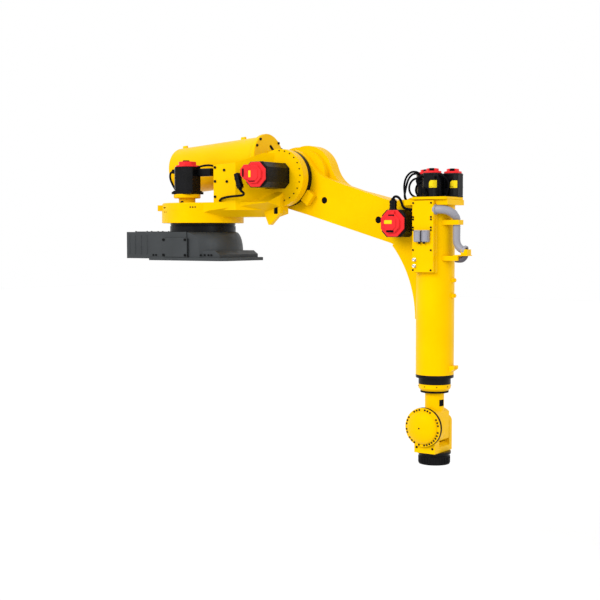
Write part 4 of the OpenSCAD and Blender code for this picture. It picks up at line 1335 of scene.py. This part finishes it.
class ARM_OT_far_covers(bpy.types.Operator):
    """Adds the hub covers, access covers and nuts on the far side and the back"""

    bl_idname = "arm.far_covers"
    bl_label = "Far side covers"

    def hub_covers(self):
        """The round covers of the shoulder and elbow hubs, with their screws."""
        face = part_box("lower_arm_casting")[1].y
        covers = []
        places = []
        for hub, radius, count in ((SHOULDER, 0.128, 16), (ELBOW, 0.104, 12)):
            centre = Vector((hub.x, face - 0.0005, hub.z))
            steps = [(radius * 0.2, -0.004), (radius * 0.34, 0.004)]
            covers.append(stand(disc(radius, height=0.005, sides=96, sinks=steps, edge=0.0012), centre, FAR))
            circle = radius * 0.9
            for index in range(count):
                places.append((centre + circle * spoke(360 * index / count) + mm(0, 5, 0), FAR))
        settle(joined(covers), "arm_hub_covers", "lower_arm", "yellow_paint")
        screws("arm_hub_screws", "lower_arm", places, radius=0.0065, height=0.005)

    def access_cover(self):
        """The forearm's access cover, with its screws."""
        plate = eased_block((0.100, 0.260, 0.003), corner=0.020, steps=4, rim=0.016, sink=-0.0015, edge=0.0006)
        back = Vector((ROLL.x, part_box("forearm_casting")[1].y - 0.0009, 0.0))
        stand(plate, back + mm(0, 0, -140), FAR)
        settle(plate, "forearm_access_cover", "forearm", "yellow_paint")
        places = [(back + mm(x, 2.5, z), FAR) for x in (-40, 40) for z in (-260, -180, -100, -20)]
        screws("forearm_access_screws", "forearm", places, radius=0.005, height=0.003)

    def wrist_cover(self):
        """The round cover of the wrist's far cheek, with its screws."""
        cheek = Vector((WRIST.x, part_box("wrist_fork")[1].y - 0.0005, WRIST.z))
        steps = [(0.016, -0.004), (0.024, 0.003)]
        cover = disc(radius=0.070, height=0.004, sides=72, sinks=steps, edge=0.001)
        settle(stand(cover, cheek, FAR), "wrist_far_cover", "wrist_fork_body", "yellow_paint")
        circle = 0.062
        places = [(cheek + circle * spoke(30 * index + 15) + mm(0, 4, 0), FAR) for index in range(12)]
        screws("wrist_far_screws", "wrist_fork_body", places, radius=0.005, height=0.004)

    def balancer_end(self):
        """The boss and the nut at the balancer's rear end."""
        rear = spot("balancer_rear_cap", x=0.0) + mm(3, 0, 9)
        boss = disc(radius=0.062, height=0.014, sides=64, sinks=[(0.018, 0.004)], edge=0.002)
        nut = disc(radius=0.026, height=0.026, sides=6, sinks=[(0.008, 0.006)], edge=0.0012)
        settle(stand(boss, rear, -BALANCER_WAY), "balancer_boss", "turret", "yellow_paint")
        settle(stand(nut, rear, -BALANCER_WAY), "balancer_nut", "turret", "black_metal", "screw_black")

    def base_covers(self):
        """The lid of the base's connector box and the base's far cover, with their screws."""
        lid_place = spot("base_connector_box", z=1.0) + mm(0, 0, -0.5)
        lid_place.y = 0.0
        lid = eased_block((0.170, 0.380, 0.004), corner=0.018, steps=4, rim=0.0155, sink=0.0015, edge=0.0008)
        stand(lid, lid_place)
        low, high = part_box("base_side_cover")
        size = (high.x - low.x, high.z - low.z, 0.005)
        side_place = spot("base_side_cover")
        far_face = 0.2445
        side_place.y = far_face
        side = eased_block(size, corner=0.018, steps=4, rim=0.0155, sink=0.0015, edge=0.0008)
        stand(side, side_place, FAR)
        settle(joined([lid, side]), "base_covers", "base", "grey_paint")
        places = [(lid_place + mm(x, y, 4), UP) for x in (-75, 75) for y in (-180, -60, 60, 180)]
        inset = 0.010
        for x in (low.x + inset, high.x - inset):
            for z in (low.z + inset, high.z - inset):
                places.append((Vector((x, side_place.y + size[2], z)), FAR))
        screws("base_cover_dots", "base", places, radius=0.005, height=0.004)

    def execute(self, context):
        self.hub_covers()
        self.access_cover()
        self.wrist_cover()
        self.balancer_end()
        self.base_covers()
        return {"FINISHED"}


class ARM_OT_base_sockets(bpy.types.Operator):
    """Caps the sockets at the back of the base and screws its panel down"""

    bl_idname = "arm.base_sockets"
    bl_label = "Base sockets"

    def execute(self, context):
        low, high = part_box("base_connector_panel")
        row = (-0.110, 0.0, 0.110)
        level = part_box("base_casting")[1].z / 2
        plate = low.x + 0.026
        steps = [(0.006, 0.003), (0.008, -0.002)]
        cap = disc(radius=0.025, height=0.006, sides=12, sinks=steps, edge=0.0008, edge_angle=25.0)
        places = [(Vector((low.x, y, level)), BACK) for y in row]
        settle(copies(cap, places), "base_socket_caps", "base", "black_metal")
        skirt = ring(outer=0.036, inner=0.0295, height=0.010, sides=48, edge=0.0015)
        places = [(Vector((plate, y, level)), BACK) for y in row]
        settle(copies(skirt, places), "base_socket_skirts", "base", "grey_metal", "bright_steel")
        places = []
        for y in (low.y + 0.014, 0.055, -0.055, high.y - 0.014):
            for z in (low.z + 0.012, high.z - 0.012):
                places.append((Vector((plate, y, z)), BACK))
        screws("base_panel_screws", "base", places, radius=0.006, height=0.005)
        return {"FINISHED"}


# Stage

FLOOR_SIZE = 80.0
KEY_AIM = Vector((0.26, 0.84, -0.47))
FILL_AIM = Vector((-0.87, 0.36, -0.30))
LAMP_DISTANCE = 6.0
CAMERA_LENS = 72.0
CAMERA_SENSOR = 36.0


class ARM_OT_stage(bpy.types.Operator):
    """Sets the floor, the lamps and the camera"""

    bl_idname = "arm.stage"
    bl_label = "Set the stage"

    def execute(self, context):
        stage = context.scene.arm_stage
        put_down()
        low = CAD_BOX[0][2] - stage.floor_drop
        bpy.ops.mesh.primitive_plane_add(size=FLOOR_SIZE, location=(0.0, 0.0, low))
        floor = context.object
        floor.name = "floor"
        floor.data.materials.append(finish("pale_floor"))
        world = bpy.data.worlds.new("studio")
        context.scene.world = world
        world.use_nodes = True
        sky = world.node_tree.nodes["Background"]
        sky.inputs["Color"].default_value = (1.0, 1.0, 1.0, 1.0)
        sky.inputs["Strength"].default_value = stage.sky
        for name, power, aim in (("key", stage.key_power, KEY_AIM), ("fill", stage.fill_power, FILL_AIM)):
            data = bpy.data.lights.new(name, "SUN")
            data.energy = power
            data.angle = stage.key_spread
            lamp = bpy.data.objects.new(name, data)
            context.collection.objects.link(lamp)
            lamp.location = -LAMP_DISTANCE * aim
            lamp.rotation_euler = aim.to_track_quat("-Z", "Y").to_euler()
        data = bpy.data.cameras.new("camera")
        data.lens = CAMERA_LENS
        data.sensor_width = CAMERA_SENSOR
        camera = bpy.data.objects.new("camera", data)
        context.collection.objects.link(camera)
        camera.location = stage.camera_place
        camera.rotation_euler = stage.camera_turn
        context.scene.camera = camera
        context.scene.view_settings.view_transform = "Standard"
        return {"FINISHED"}


OPERATORS = (
    ARM_OT_stage,
    ARM_OT_motor_leads,
    ARM_OT_wrist_leads,
    ARM_OT_hose,
    ARM_OT_solids,
    ARM_OT_shoulder_screws,
    ARM_OT_forearm_screws,
    ARM_OT_wrist_screws,
    ARM_OT_motor_bands,
    ARM_OT_small_caps,
    ARM_OT_slewing_motor,
    ARM_OT_cap_lids,
    ARM_OT_boots,
    ARM_OT_connectors,
    ARM_OT_arm_plugs,
    ARM_OT_wrist_rings,
    ARM_OT_deck_fittings,
    ARM_OT_far_covers,
    ARM_OT_base_sockets,
)


class ARM_PT_dressing(bpy.types.Panel):
    """Lists the steps and sizes of the arm's dressing"""

    bl_idname = "ARM_PT_dressing"
    bl_label = "Robot Arm"
    bl_space_type = "VIEW_3D"
    bl_region_type = "UI"
    bl_category = "Robot Arm"

    def draw(self, context):
        for operator in OPERATORS:
            self.layout.operator(operator.bl_idname)
        for group in GROUPS:
            box = self.layout.box()
            for prop in GROUPS[group].__annotations__:
                box.prop(getattr(context.scene, group), prop)


GROUPS = {"arm_paint": ArmPaint, "arm_edges": ArmEdges, "arm_fittings": ArmFittings, "arm_stage": ArmStage}


def register():
    for group, cls in GROUPS.items():
        bpy.utils.register_class(cls)
        setattr(bpy.types.Scene, group, bpy.props.PointerProperty(type=cls))
    for cls in (*OPERATORS, ARM_PT_dressing):
        bpy.utils.register_class(cls)


def unregister():
    for cls in reversed((*OPERATORS, ARM_PT_dressing)):
        bpy.utils.unregister_class(cls)
    for group, cls in GROUPS.items():
        delattr(bpy.types.Scene, group)
        bpy.utils.unregister_class(cls)


def main():
    register()
    bpy.ops.arm.stage()
    bpy.ops.arm.motor_leads()
    bpy.ops.arm.wrist_leads()
    bpy.ops.arm.hose()
    bpy.ops.arm.solids()
    bpy.ops.arm.shoulder_screws()
    bpy.ops.arm.forearm_screws()
    bpy.ops.arm.wrist_screws()
    bpy.ops.arm.motor_bands()
    bpy.ops.arm.small_caps()
    bpy.ops.arm.slewing_motor()
    bpy.ops.arm.cap_lids()
    bpy.ops.arm.boots()
    bpy.ops.arm.connectors()
    bpy.ops.arm.arm_plugs()
    bpy.ops.arm.wrist_rings()
    bpy.ops.arm.deck_fittings()
    bpy.ops.arm.far_covers()
    bpy.ops.arm.base_sockets()


if __name__ == "__main__":
    main()
